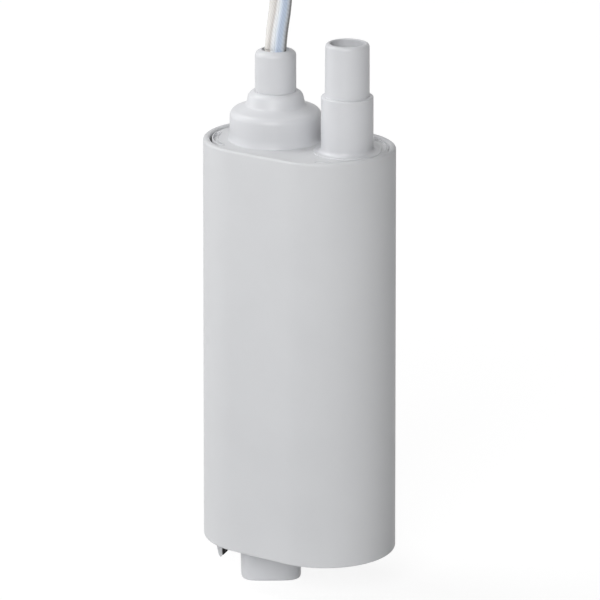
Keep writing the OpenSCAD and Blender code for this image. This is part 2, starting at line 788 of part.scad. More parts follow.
// Oval plate that centres the motor and the riser in the casing
module centring_plate() color("silver") {
    below_top = 17.5;
    thickness = 4;
    translate([0, 0, motor_top_z - below_top]) linear_extrude(thickness) difference() {
        oval(casing_wall + slide_fit);
        translate([motor_x, 0]) circle(can_r + slide_fit);
        translate([riser_x, 0]) circle(riser_r + slide_fit);
    }
}

module cable_tail() color("oldlace") cable_slot(tail_z, sleeve_top_z - tail_z, 0);

// Single cores from the end of the flat cable to the motor's terminals
function lead_line(side) =
    let (start = [gland_x, 0, 0] - side*core_spacing/2*[cos(cable_turn), sin(cable_turn), 0],
        end_z = motor_top_z + terminal_rise - 0.4, drop = tail_z - end_z,
        end = [motor_x, side*(terminal_y + terminal_thickness + lead_r + press_gap), 0])
    [start + [0, 0, tail_z], start + [0, side*0.3, tail_z - 0.15*drop],
        start*0.7 + end*0.3 + [0, side*0.6, tail_z - 0.4*drop],
        start*0.3 + end*0.7 + [0, side*0.6, tail_z - 0.65*drop],
        end + [0, 0, tail_z - 0.88*drop], end + [0, 0, end_z - 1.8]];

module lead(side) {
    line = lead_line(side);
    sweep(rings_along(line, [for (p = line) [1, 0, 0]], round_outline(lead_r),
        [0, 0, -1], [0, 0, -1]));
}

module lead_positive() color("oldlace") lead(1);

module lead_negative() color("lightblue") lead(-1);

// ---- Free cable ----

// Line of the free cable from the sleeve to the coil, and where its broad side points
cable_route = [
    [[-6.8, 0, 129.6], [1, 0, 0]], [[-6.5, 0.2, 134], [1, 0, 0]],
    [[-5.8, 0.7, 141], [1, 0.02, 0]], [[-5.2, 0.5, 151], [1, 0.02, 0]],
    [[-5.5, -3, 162], [1, 0, 0]], [[-7, -11, 173], [1, -0.05, 0]],
    [[-9, -22, 182], [0.99, -0.12, 0]], [[-11, -35, 188], [0.98, -0.17, 0]],
    [[-13.5, -49, 190.5], [0.98, -0.17, 0]], [[-16, -63, 189.5], [0.98, -0.17, 0]],
    [[-18.5, -76.5, 185], [0.98, -0.17, 0]], [[-20.8, -89, 177], [0.98, -0.17, 0]],
    [[-22.8, -99.5, 166], [0.98, -0.17, 0]], [[-24.2, -106.5, 153], [0.98, -0.17, 0]],
    [[-24.8, -110, 139], [0.98, -0.17, 0]], [[-25, -111, 124], [0.98, -0.17, 0]],
    [[-25, -111, 110], [0.98, -0.17, 0]], [[-25, -111, 96], [0.98, -0.17, 0]],
    [[-25, -111, 82], [0.98, -0.17, 0]], [[-25, -111, 68], [0.98, -0.17, 0]],
    [[-25, -111, 54], [0.98, -0.17, 0]], [[-25, -111, 40], [0.98, -0.17, 0]],
    [[-25, -111, 26], [0.98, -0.17, 0]], [[-23.3, -111.3, 17], [0.9, -0.16, 0.4]],
    [[-18.3, -112.2, 9.6], [0.7, -0.12, 0.7]], [[-11, -113.5, 4.7], [0.4, -0.07, 0.9]],
    [[-2.4, -115, 2.85], [0, 0, 1]]];
coil_heading = -10;
coil_lead = 6;        // straight length at each end of the coil
coil_steps = 24;      // rings in one turn
hook_r = 12;          // bend that leads the cable's end into the coil's middle
hook_angle = 120;

coil_out_r = coil_diameter/2 + coil_turns*coil_pitch/2;
coil_ahead = [cos(coil_heading), sin(coil_heading), 0];
coil_left = [-sin(coil_heading), cos(coil_heading), 0];
coil_start = last(cable_route)[0];
coil_centre = coil_start + coil_lead*coil_ahead + coil_out_r*coil_left;
coil_count = round(coil_turns*coil_steps);
coil_in_r = coil_out_r - coil_turns*coil_pitch;
hook_from = coil_heading - 90 + 360*coil_turns;
hook_centre = coil_centre + (coil_in_r - hook_r)*[cos(hook_from), sin(hook_from), 0];
coil_end_way = [cos(hook_from + hook_angle + 90), sin(hook_from + hook_angle + 90), 0];
coil_winding = [for (i = [0:coil_count])
    let (a = coil_heading - 90 + 360*i/coil_steps, r = coil_out_r - coil_pitch*i/coil_steps)
    coil_centre + r*[cos(a), sin(a), 0]];
coil_hook = [for (i = [1:8]) let (a = hook_from + hook_angle*i/8)
    hook_centre + hook_r*[cos(a), sin(a), 0]];
coil_line = concat([coil_start], coil_winding, coil_hook,
    [last(coil_hook) + coil_lead*coil_end_way]);
coil_gap = min([for (i = [0:len(coil_line) - 1], j = [i + coil_steps/2:1:len(coil_line) - 1])
    norm(coil_line[i] - coil_line[j]) - cable_thickness]);
echo(str("least gap between the turns of the coil: ", coil_gap, " mm"));

half_w = cable_width/2;
half_t = cable_thickness/2;
run_outline = [[half_t, -1.5], [half_t, 1.5], [0.8, half_w], [-0.8, half_w],
    [-half_t, 1.5], [-half_t, -1.5], [-0.8, -half_w], [0.8, -half_w]];
coil_outline = [[half_t, 0], [0.9, half_w], [-0.9, half_w], [-half_t, 0],
    [-0.9, -half_w], [0.9, -half_w]];

module cable_run() color("oldlace")
    sweep(rings_along([for (p = cable_route) p[0]], [for (p = cable_route) p[1]],
        run_outline, [0, 0, 1], coil_ahead));

module cable_coil() color("oldlace")
    sweep(rings_along(coil_line, [for (p = coil_line) [0, 0, 1]], coil_outline,
        coil_ahead, coil_end_way));

// The two cores part and lie inside the coil; places are along, aside and up from its end
core_r_out = core_spacing/2 - press_gap;
upper_core = [[0, 0, half_w + core_spacing/2], [4, 0.8, half_w + 1.2], [9, 2.4, 2.6],
    [13, 3.2, core_r_out], [17, 3.6, core_r_out]];
lower_core = [[0, 0, half_w - core_spacing/2], [4, -0.8, core_r_out],
    [9, -2.2, core_r_out], [12.5, -3.4, core_r_out], [15.5, -4, core_r_out]];
tip_length = 5;
tip_r = 0.75;

function from_coil_end(p) = last(coil_line)*[[1, 0, 0], [0, 1, 0], [0, 0, 0]]
    + p[0]*coil_end_way + p[1]*[-coil_end_way[1], coil_end_way[0], 0] + [0, 0, p[2]];
function end_way(line) = unit(last(line) - line[len(line) - 2]);

module core_end(places) {
    line = [for (p = places) from_coil_end(p)];
    sweep(rings_along(line, [for (p = line) [0, 0, 1]], round_outline(core_r_out),
        coil_end_way, end_way(line)));
}

module core_end_positive() color("oldlace") core_end(lower_core);

module core_end_negative() color("lightblue") core_end(upper_core);

module tinned_tips() color("silver")
    for (places = [upper_core, lower_core]) {
        line = [for (p = places) from_coil_end(p)];
        way = end_way(line);
        translate(last(line)) rotate([0, acos(way[2]), atan2(way[1], way[0])])
            cylinder(h = tip_length, r = tip_r, $fn = 24);
    }

casing();
top_cap();
top_cap_seal();
gland_body();
cable_sleeve();
cable_seal();
seal_retainer();
hose_spigot();
riser_pipe();
riser_seals();
bottom_cap();
bottom_cap_seal();
bleed_valve();
inlet_nub();
inlet_strainer();
chamber_cover();
chamber_gasket();
pump_chamber();
cover_screws();
impeller();
shaft_seal();
seal_plate();
motor_screws();
motor_can();
magnets();
lower_bearing();
upper_bearing();
motor_endbell();
brushes();
brush_arms();
motor_terminals();
suppressor();
motor_shaft();
armature_core();
armature_windings();
commutator_sleeve();
commutator_segments();
centring_plate();
cable_tail();
lead_positive();
lead_negative();
cable_run();
cable_coil();
core_end_positive();
core_end_negative();
tinned_tips();
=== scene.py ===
# %% [markdown]
# A slim submersible pump for a water tank. Its oval casing, caps, cable gland and hose spigot
# are moulded in light grey ABS, and a flat twin flex leaves the gland. The construction comes
# packed from the CAD model; this notebook gives it its surfaces, its cable and its light.

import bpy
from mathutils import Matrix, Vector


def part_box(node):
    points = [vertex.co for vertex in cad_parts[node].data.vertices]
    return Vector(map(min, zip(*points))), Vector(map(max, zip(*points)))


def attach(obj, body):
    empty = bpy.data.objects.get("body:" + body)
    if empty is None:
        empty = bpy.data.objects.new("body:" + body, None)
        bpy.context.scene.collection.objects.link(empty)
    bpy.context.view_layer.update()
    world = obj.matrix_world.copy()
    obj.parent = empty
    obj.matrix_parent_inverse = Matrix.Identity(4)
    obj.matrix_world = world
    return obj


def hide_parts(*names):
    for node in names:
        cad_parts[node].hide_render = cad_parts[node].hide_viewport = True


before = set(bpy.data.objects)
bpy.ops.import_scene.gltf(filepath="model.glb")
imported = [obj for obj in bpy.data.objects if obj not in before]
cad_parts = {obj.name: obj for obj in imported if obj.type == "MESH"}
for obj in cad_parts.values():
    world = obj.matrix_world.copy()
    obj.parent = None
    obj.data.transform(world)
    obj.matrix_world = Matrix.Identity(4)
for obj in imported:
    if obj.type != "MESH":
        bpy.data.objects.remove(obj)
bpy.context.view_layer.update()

# %% [markdown]
# Blender measures in metres and a moulder draws in millimetres, so sizes are written in
# millimetres and multiplied by MM. The main ones are read from the CAD nodes' boxes. Only the
# flex's route, the floor and the lamps are written in metres.

# %% Units and main sizes
import math

import bmesh
import bpy
from mathutils import Vector

MM = 0.001


def box_mm(name):
    low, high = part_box(name)
    return low / MM, high / MM


casing_low, casing_high = box_mm("casing")
END_R = casing_high.y                   # radius of the oval's rounded ends
END_X = casing_high.x - END_R           # how far their centres lie from the middle
EDGE_Z = casing_low.z                   # lower edge of the casing
RIM_Z = casing_high.z                   # upper edge
WALL = 1.6
print("casing", tuple(round(v, 2) for v in casing_high - casing_low), "mm")

# %% [markdown]
# A long lens from a metre away keeps the pump's sides almost parallel, as in a catalogue
# picture. The camera stands round to the right of the oval's broad side and looks a little down.

# %% Camera
CAMERA_AZIMUTH = math.radians(35.7)
CAMERA_ELEVATION = math.radians(17.32)
CAMERA_DISTANCE = 1147
LENS_MM = 290.6                         # on Blender's 36 mm sensor
CASING_MIDDLE = Vector((0, 0, 59.3))
AIM_UP, AIM_RIGHT = 10.04, 0.19         # the aim lies this far from the casing's middle

to_camera = Vector((
    math.sin(CAMERA_AZIMUTH) * math.cos(CAMERA_ELEVATION),
    -math.cos(CAMERA_AZIMUTH) * math.cos(CAMERA_ELEVATION),
    math.sin(CAMERA_ELEVATION)))
view_right = Vector((math.cos(CAMERA_AZIMUTH), math.sin(CAMERA_AZIMUTH), 0))
view_up = to_camera.cross(view_right)
camera_spot = CASING_MIDDLE + CAMERA_DISTANCE * to_camera
aim = CASING_MIDDLE + AIM_UP * view_up + AIM_RIGHT * view_right

camera_data = bpy.data.cameras.new("camera")
camera_data.lens = LENS_MM
camera_data.clip_start = 0.05
camera = bpy.data.objects.new("camera", camera_data)
camera.location = camera_spot * MM
camera.rotation_euler = (aim - camera_spot).to_track_quat("-Z", "Y").to_euler()
bpy.context.collection.objects.link(camera)
bpy.context.scene.camera = camera
print("camera at", tuple(round(v, 3) for v in camera.location))

# %% [markdown]
# The flex is about 1 m of flat twin cable. It rises out of the gland, arches over to the floor
# and is wound there as a flat coil. The route's points are the CAD's own; each has the
# direction in which the cable's broad side points. The coil is worked out turn by turn.

# %% The route of the flex
ROUTE = [
    ((-0.0068, 0, 0.1296), (1, -0.05, 0)), ((-0.0065, 0.0002, 0.134), (1, -0.05, 0)),
    ((-0.0058, 0.0007, 0.141), (1, 0, 0)), ((-0.0052, 0.0005, 0.151), (1, 0.02, 0)),
    ((-0.0055, -0.003, 0.162), (1, 0, 0)), ((-0.007, -0.011, 0.173), (1, -0.05, 0)),
    ((-0.009, -0.022, 0.182), (0.99, -0.12, 0)), ((-0.011, -0.035, 0.188), (0.98, -0.17, 0)),
    ((-0.0135, -0.049, 0.1905), (0.98, -0.17, 0)), ((-0.016, -0.063, 0.1895), (0.98, -0.17, 0)),
    ((-0.0185, -0.0765, 0.185), (0.98, -0.17, 0)), ((-0.0208, -0.089, 0.177), (0.98, -0.17, 0)),
    ((-0.0228, -0.0995, 0.166), (0.98, -0.17, 0)), ((-0.0242, -0.1065, 0.153), (0.98, -0.17, 0)),
    ((-0.0248, -0.11, 0.139), (0.98, -0.17, 0)), ((-0.025, -0.111, 0.124), (0.98, -0.17, 0)),
    ((-0.025, -0.111, 0.11), (0.98, -0.17, 0)), ((-0.025, -0.111, 0.096), (0.98, -0.17, 0)),
    ((-0.025, -0.111, 0.082), (0.98, -0.17, 0)), ((-0.025, -0.111, 0.068), (0.98, -0.17, 0)),
    ((-0.025, -0.111, 0.054), (0.98, -0.17, 0)), ((-0.025, -0.111, 0.04), (0.98, -0.17, 0)),
    ((-0.025, -0.111, 0.026), (0.98, -0.17, 0)), ((-0.0233, -0.1113, 0.017), (0.9, -0.16, 0.4)),
    ((-0.0183, -0.1122, 0.0096), (0.7, -0.12, 0.7)),
    ((-0.011, -0.1135, 0.0047), (0.4, -0.07, 0.9)), ((-0.0024, -0.115, 0.00285), (0, 0, 1)),
]
COIL_TURNS = 3.5
COIL_PITCH = 3.5 * MM
COIL_MIDDLE_R = 28.5 * MM               # radius at the middle of the turns
COIL_HEADING = math.radians(-10)
COIL_LEAD = 6 * MM                      # straight length at each end of the coil
HOOK_R = 12 * MM                        # bend that leads the end into the coil's middle
HOOK_ANGLE = math.radians(120)
COIL_STEPS = 48                         # rings in one turn
HOOK_STEPS = 16


def flat(angle):
    return Vector((math.cos(angle), math.sin(angle), 0))


route_end = Vector(ROUTE[-1][0])
coil_out_r = COIL_MIDDLE_R + COIL_TURNS * COIL_PITCH / 2
coil_in_r = coil_out_r - COIL_TURNS * COIL_PITCH
coil_centre = (route_end + COIL_LEAD * flat(COIL_HEADING)
               + coil_out_r * flat(COIL_HEADING + math.pi / 2))
first_angle = COIL_HEADING - math.pi / 2
last_angle = first_angle + 2 * math.pi * COIL_TURNS
winding = []
for i in range(round(COIL_TURNS * COIL_STEPS) + 1):
    turns = i / COIL_STEPS
    winding.append(coil_centre + (coil_out_r - COIL_PITCH * turns)
                   * flat(first_angle + 2 * math.pi * turns))
hook_centre = coil_centre + (coil_in_r - HOOK_R) * flat(last_angle)
hook = [hook_centre + HOOK_R * flat(last_angle + HOOK_ANGLE * i / HOOK_STEPS)
        for i in range(1, HOOK_STEPS + 1)]
end_way = flat(last_angle + HOOK_ANGLE + math.pi / 2)
coil_line = winding + hook + [hook[-1] + COIL_LEAD * end_way]
print("coil", len(coil_line), "points, outer radius", round(coil_out_r / MM, 1), "mm")

# %% [markdown]
# Between the listed points a Catmull-Rom curve runs smoothly through each of them. A sweep
# then carries the cable's cross-section along the line. Each vertex also remembers its place
# across and along the cable, so that a material can colour the two cores separately.

# %% Curve and sweep helpers
def smooth_line(points, pieces=4):
    line = []
    for i in range(len(points) - 1):
        before, start = points[max(i - 1, 0)], points[i]
        end, after = points[i + 1], points[min(i + 2, len(points) - 1)]
        for k in range(pieces):
            t = k / pieces
            line.append(0.5 * (2 * start + (end - before) * t
                               + (2 * before - 5 * start + 4 * end - after) * t ** 2
                               + (3 * start - before - 3 * end + after) * t ** 3))
    return line + [points[-1]]


def shade(mesh, sharp_angle=35):
    mesh.shade_smooth()
    mesh.set_sharp_from_angle(angle=math.radians(sharp_angle))


def new_object(name, mesh, sharp_angle=35):
    mesh.validate()
    shade(mesh, sharp_angle)
    made = bpy.data.objects.new(name, mesh)
    bpy.context.collection.objects.link(made)
    return made


def sweep(name, line, edges, outlines, along=0):
    """A tube; outlines has one list of (thickness, breadth) points in mm for each ring.

    edges says where the broad side points at each ring, and along is the first ring's place.
    """
    vertices, faces, section = [], [], []
    sides = len(outlines[0])
    for i, spot in enumerate(line):
        if i:
            along += (spot - line[i - 1]).length
        way = (line[min(i + 1, len(line) - 1)] - line[max(i - 1, 0)]).normalized()
        edge = (edges[i] - edges[i].dot(way) * way).normalized()
        thick = way.cross(edge)
        for n, e in outlines[i]:
            vertices.append(spot + n * MM * thick + e * MM * edge)
            section.append((e, n, along / MM))
    for i in range(len(line) - 1):
        for j in range(sides):
            k = (j + 1) % sides
            faces.append((i * sides + j, i * sides + k, (i + 1) * sides + k, (i + 1) * sides + j))
    faces.append(tuple(range(sides - 1, -1, -1)))
    faces.append(tuple((len(line) - 1) * sides + j for j in range(sides)))
    mesh = bpy.data.meshes.new(name)
    mesh.from_pydata(vertices, [], faces)
    place = mesh.attributes.new("section", "FLOAT_VECTOR", "POINT")
    place.data.foreach_set("vector", [v for row in section for v in row])
    made = new_object(name, mesh, 60)
    print(name, len(mesh.vertices), "vertices, ends at", round(along / MM), "mm")
    return made


# %% [markdown]
# The flex's section is a figure eight: two round cores, 2.9 mm thick, joined by a thin web. A
# plain flat tube would lose the groove that shows it is a twin cable.

# %% The twin flex
FLEX_WIDTH, FLEX_THICKNESS = 5.7, 2.9
CORE_R = FLEX_THICKNESS / 2
CORE_OFF = (FLEX_WIDTH - FLEX_THICKNESS) / 2
GROOVE = 0.72                           # half the web's thickness
LOBE_ARC, LOBE_STEP = 144, 16           # degrees to each side of a core's outermost point

lobe = [math.radians(a) for a in range(-LOBE_ARC, LOBE_ARC + 1, LOBE_STEP)]
upper_lobe = [(CORE_R * math.sin(a), CORE_OFF + CORE_R * math.cos(a)) for a in lobe]
lower_lobe = [(-n, -e) for n, e in upper_lobe]
flex_outline = upper_lobe + [(GROOVE, 0)] + lower_lobe + [(-GROOVE, 0)]

run_line = smooth_line([Vector(p) for p, _ in ROUTE])
run_edges = smooth_line([Vector(e) for _, e in ROUTE])
UP = Vector((0, 0, 1))
flex_line = run_line + coil_line
flex_edges = run_edges + [UP] * len(coil_line)
flex = sweep("twin_flex", flex_line, flex_edges, [flex_outline] * len(flex_line))
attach(flex, "housing")
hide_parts("cable_run", "cable_coil")

# %% [markdown]
# The flex goes on down into the gland, and its first millimetres show in the sleeve's mouth, so
# that piece gets the same section.

# %% The flex inside the gland
tail_low, tail_high = box_mm("cable_tail")
tail_heights = (tail_low.z, tail_high.z - 2, tail_high.z)
tail_line = [Vector((ROUTE[0][0][0], 0, z * MM)) for z in tail_heights]
tail = sweep("flex_tail", tail_line, [Vector(ROUTE[0][1])] * len(tail_line),
             [flex_outline] * len(tail_line), along=(tail_low.z - tail_high.z) * MM)
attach(tail, "housing")
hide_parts("cable_tail")

# %% [markdown]
# At the cable's end the two cores part, and each shows a few millimetres of tinned strands,
# ready for a terminal. The strands are a twisted bundle, so the tip is swept with seven lobes.

# %% The parted cores and their tinned tips
STRIPPED_R = CORE_OFF - 0.02
TIP_R, TIP_LENGTH, TIP_TWIST = 0.75, 5, math.radians(260)
TIP_LOBES, TIP_SIDES, TIP_STEPS = 7, 42, 20
TIP_HIDDEN = 0.4                        # length of a tip inside its core
TIP_TAPER = 0.72                        # of a tip's last ring
HALF_WIDTH = FLEX_WIDTH / 2
# each place is how far the core has gone on, how far to the left, and its height
UPPER_CORE = [(0, 0, HALF_WIDTH + CORE_OFF), (4, 0.8, HALF_WIDTH + 1.2), (9, 2.4, 2.6),
              (13, 3.2, STRIPPED_R), (17, 3.6, STRIPPED_R)]
LOWER_CORE = [(0, 0, HALF_WIDTH - CORE_OFF), (4, -0.8, STRIPPED_R), (9, -2.2, STRIPPED_R),
              (12.5, -3.4, STRIPPED_R), (15.5, -4, STRIPPED_R)]
end_left = Vector((-end_way.y, end_way.x, 0))
end_spot = Vector((coil_line[-1].x, coil_line[-1].y, 0))


def circle(r, sides=24):
    return [(r * math.cos(2 * math.pi * i / sides), -r * math.sin(2 * math.pi * i / sides))
            for i in range(sides)]


def strands(turn, taper):
    ring = []
    for i in range(TIP_SIDES):
        angle = 2 * math.pi * i / TIP_SIDES
        r = taper * TIP_R * (0.9 + 0.1 * abs(math.cos(TIP_LOBES / 2 * angle)))
        ring.append((r * math.cos(angle + turn), -r * math.sin(angle + turn)))
    return ring


def stripped_core(name, places):
    line = smooth_line([end_spot + MM * (a * end_way + b * end_left + Vector((0, 0, c)))
                        for a, b, c in places])
    core = sweep(name, line, [UP] * len(line), [circle(STRIPPED_R)] * len(line))
    way = (line[-1] - line[-2]).normalized()
    tip_line, rings = [], []
    for i in range(TIP_STEPS + 1):
        tip_line.append(line[-1] + way * MM * (TIP_LENGTH * i / TIP_STEPS - TIP_HIDDEN))
        rings.append(strands(TIP_TWIST * i / TIP_STEPS, 1 if i < TIP_STEPS else TIP_TAPER))
    tip = sweep(name + "_tip", tip_line, [UP] * len(tip_line), rings)
    return core, tip


core_positive, tip_positive = stripped_core("core_end_clear", UPPER_CORE)
core_negative, tip_negative = stripped_core("core_end_blue", LOWER_CORE)
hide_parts("core_end_positive")
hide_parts("core_end_negative")
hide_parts("tinned_tips")
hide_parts("tinned_tips")
for piece, slot in ((core_positive, "clear_pvc"), (core_negative, "blue_pvc"),
                    (tip_positive, "tinned_copper"), (tip_negative, "tinned_copper")):
    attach(piece, "housing")

# %% [markdown]
# Colours are written as the hex values a paint chip shows. Blender's shaders work in linear
# light, so one function turns each value over. A second one adds a node, sets it and links it.

# %% Colour and node helpers
def rgb(hex_value):
    def linear(value):
        return value / 12.92 if value <= 0.04045 else ((value + 0.055) / 1.055) ** 2.4
    parts = [int(hex_value[i:i + 2], 16) / 255 for i in (1, 3, 5)]
    return tuple(linear(v) for v in parts) + (1,)


def add_node(material, kind, settings=None, inputs=None, stops=()):
    """An input is a value, or a (node, output) pair that is linked to it."""
    tree = material.node_tree
    made = tree.nodes.new("ShaderNode" + kind)
    for key, value in (settings or {}).items():
        setattr(made, key, value)
    for i, (place, hex_value) in enumerate(stops):
        ramp = made.color_ramp.elements
        element = ramp[i] if i < 2 else ramp.new(place)
        element.position = place
        element.color = rgb(hex_value)
    for key, value in (inputs or {}).items():
        if isinstance(value, tuple) and isinstance(value[0], bpy.types.Node):
            tree.links.new(value[0].outputs[value[1]], made.inputs[key])
        else:
            made.inputs[key].default_value = value
    return made


def new_material(name, base, roughness, metallic=0.0, ior=1.5):
    """A material with its surface shader, whose sockets the next cells fill in."""
    material = bpy.data.materials.new(name)
    material.use_nodes = True
    shader = material.node_tree.nodes["Principled BSDF"]
    shader.inputs["Base Color"].default_value = rgb(base)
    shader.inputs["Roughness"].default_value = roughness
    shader.inputs["Metallic"].default_value = metallic
    if not metallic:
        shader.inputs["IOR"].default_value = ior
    return material, shader


def link(material, source, output, target, socket):
    material.node_tree.links.new(source.outputs[output], target.inputs[socket])


def per_metre(size_mm):
    """The scale of a pattern whose features are this many millimetres apart."""
    return 1 / (size_mm * MM)


# %% [markdown]
# Moulded plastic is never one flat colour. The melt leaves faint clouds as it fills the mould,
# and the mould's spark-eroded steel leaves a fine grain, which scatters a lamp's reflection into
# a soft satin. The real grain is about 0.1 mm, too fine to show, so it is drawn three times as
# coarse.

# %% Moulded plastics
def moulded(name, tones, roughness, grain_mm=0.3, cloud_mm=14, bump=0.06, ior=1.54):
    material, shader = new_material(name, tones[0], roughness, ior=ior)
    place = add_node(material, "TexCoord")
    clouds = add_node(material, "TexNoise", inputs={
        "Vector": (place, "Object"), "Scale": per_metre(cloud_mm), "Detail": 3.0})
    tone = add_node(material, "ValToRGB", inputs={"Fac": (clouds, "Fac")},
                    stops=[(0.35, tones[0]), (0.65, tones[1])])
    grain = add_node(material, "TexNoise", inputs={
        "Vector": (place, "Object"), "Scale": per_metre(grain_mm), "Detail": 2.0})
    gloss = add_node(material, "MapRange", inputs={
        "Value": (clouds, "Fac"), "From Min": 0.3, "From Max": 0.7,
        "To Min": roughness - 0.04, "To Max": roughness + 0.04})
    relief = add_node(material, "Bump", inputs={
        "Height": (grain, "Fac"), "Strength": bump, "Distance": grain_mm * MM})
    link(material, tone, "Color", shader, "Base Color")
    link(material, gloss, "Result", shader, "Roughness")
    link(material, relief, "Normal", shader, "Normal")
    return material


# light grey ABS with a satin mould finish
grey_abs = moulded("moulded_grey_abs", ("#cecfd1", "#d0d1d3"), 0.56)
# the small fittings come from a smoother mould
grey_abs_fittings = moulded("polished_mould_grey_abs", ("#d1d2d5", "#d5d6d9"), 0.42, 0.25)
# nylon with short glass fibres, duller and greyer
glass_nylon = moulded("glass_filled_nylon", ("#a9abb0", "#b1b3b8"), 0.55, 0.4, 6, 0.12)
acetal = moulded("dark_acetal", ("#3f4145", "#45474b"), 0.32, 0.25)
ivory_nylon = moulded("ivory_nylon", ("#dcd7c4", "#e2ddcb"), 0.42, 0.3)
pipe_pvc = moulded("extruded_white_pvc", ("#dcdde0", "#e2e3e5"), 0.3, 0.4, 20, 0.03)
phenolic = moulded("brown_phenolic", ("#51301d", "#5a3721"), 0.5, 0.3, 3, 0.1, 1.6)
graphite = moulded("copper_graphite", ("#262628", "#39302c"), 0.6, 0.15, 0.6, 0.15)
ceramic = moulded("dipped_ceramic", ("#c57a2b", "#cf8534"), 0.25, 0.5, 3, 0.05, 1.6)
# rubber has no gloss to speak of
black_rubber = moulded("black_epdm_rubber", ("#0c0c0d", "#121213"), 0.75, 0.25, 5, 0.12, 1.45)
grey_rubber = moulded("grey_nitrile_rubber", ("#3d3d3f", "#454547"), 0.62, 0.3, 5, 0.1, 1.5)
print("plastics and rubbers", len(bpy.data.materials))

# %% [markdown]
# The flex's insulation is clear PVC over fine copper strands: one core pale and coppery, the
# other tinted blue. Its colours also hold painted light: a painted near-white highlight on the
# pale core and between the cores, and painted shade that darkens the blue core's outer edge
# into a thin dark grey line, a painted reflection of dark surroundings in the clear edge. The
# colours follow the place across the cable, leaned towards its flat side, so that the dark
# line lies on one edge of the blue core. Faint slanted lines are the strands' lay.

# %% Clear PVC twin flex
STRAND_MM = 0.7                         # real strands are 0.2 mm; drawn coarser to show
STRAND_R = 0.75                         # the strands lie this far from their core's middle
LAY_MM = 7.0                            # length in which a strand goes once round its core
LEAN_ACROSS, LEAN_THROUGH = 0.95, 0.32
SHIFTED_MM, SHIFT_POWER = 14, 0.78         # length and amount of the colour shift near the gland
REACH = CORE_OFF * LEAN_ACROSS + CORE_R  # how far the leaned place goes to each side
twin_pvc, pvc_shader = new_material("clear_pvc_twin_flex", "#dcdad6", 0.2, ior=1.53)
place = add_node(twin_pvc, "Attribute", {"attribute_name": "section"})
across = add_node(twin_pvc, "SeparateXYZ", inputs={0: (place, "Vector")})
through = add_node(twin_pvc, "Math", {"operation": "MULTIPLY"}, {
    0: (across, "Y"), 1: LEAN_THROUGH})
leaned = add_node(twin_pvc, "Math", {"operation": "MULTIPLY_ADD"}, {
    0: (across, "X"), 1: LEAN_ACROSS, 2: (through, "Value")})
share = add_node(twin_pvc, "MapRange", inputs={
    "Value": (leaned, "Value"), "From Min": -REACH, "From Max": REACH})
# over the first millimetres from the gland the colours are drawn across, so that the blue core
# reaches a little further towards the middle
shift_near_gland = add_node(twin_pvc, "MapRange", inputs={
    "Value": (across, "Z"), "From Min": 0, "From Max": SHIFTED_MM,
    "To Min": SHIFT_POWER, "To Max": 1.0})
drawn_in = add_node(twin_pvc, "Math", {"operation": "POWER"}, {
    0: (share, "Result"), 1: (shift_near_gland, "Result")})
# the stops paint a near-white highlight and a dark grey edge line besides the cores' colours
# a new ramp has two stops, at its ends, so those two come first
core_colours_and_painted_light = add_node(twin_pvc, "ValToRGB", inputs={"Fac": (drawn_in, "Value")}, stops=[
    (0.0, "#d2d0cc"), (1.0, "#7a7a79"), (0.11, "#e8e6e2"), (0.24, "#e6e3df"), (0.32, "#dad6d2"),
    (0.363, "#cfc9c5"), (0.404, "#dddbd9"), (0.434, "#ededec"), (0.5, "#ebedf0"),
    (0.588, "#dee5ec"), (0.65, "#d2dbe6"), (0.702, "#c5d0e0"), (0.761, "#b5c2d6"),
    (0.866, "#bac8db"), (0.92, "#cad1da"), (0.954, "#bcc0c5"), (0.972, "#a2a4a5"),
    (0.985, "#7e7e7d")])
slant = add_node(twin_pvc, "Math", {"operation": "MULTIPLY_ADD"}, {
    0: (across, "Z"), 1: 2 * math.pi * STRAND_R / LAY_MM, 2: (across, "X")})
angle = add_node(twin_pvc, "Math", {"operation": "MULTIPLY"}, {
    0: (slant, "Value"), 1: 2 * math.pi / STRAND_MM})
wave = add_node(twin_pvc, "Math", {"operation": "SINE"}, {0: (angle, "Value")})
blotch = add_node(twin_pvc, "TexNoise", inputs={
    "Vector": (place, "Vector"), "Scale": 0.9, "Detail": 4.0})
strand = add_node(twin_pvc, "Math", {"operation": "MULTIPLY"}, {
    0: (wave, "Value"), 1: (blotch, "Fac")})
strand_shade = add_node(twin_pvc, "MapRange", inputs={
    "Value": (strand, "Value"), "From Min": -0.6, "From Max": 0.6,
    "To Min": 0.92, "To Max": 1.04})
# a Mix node takes its two colours at sockets 6 and 7 and gives its colour at output 2
tinted = add_node(twin_pvc, "Mix", {"data_type": "RGBA", "blend_type": "MULTIPLY"}, {
    0: 1.0, 6: (core_colours_and_painted_light, "Color"), 7: (strand_shade, "Result")})
link(twin_pvc, tinted, 2, pvc_shader, "Base Color")
for piece in (flex, tail):
    piece.data.materials.append(twin_pvc)

core_pvc = moulded("clear_pvc_over_copper", ("#d9cfc8", "#e4dfda"), 0.2, 0.6, 2, 0.02, 1.53)
blue_pvc = moulded("blue_pvc_insulation", ("#aebfd9", "#bccbdf"), 0.2, 0.6, 2, 0.02, 1.53)
core_positive.data.materials.append(core_pvc)
core_negative.data.materials.append(blue_pvc)

# %% [markdown]
# Metals get their colour from the reflection itself, so the colour is the metal's own and the
# roughness says how it was worked. Fine lines come from drawing, grinding or rolling; they are
# a noise that is stretched along the direction of the work.

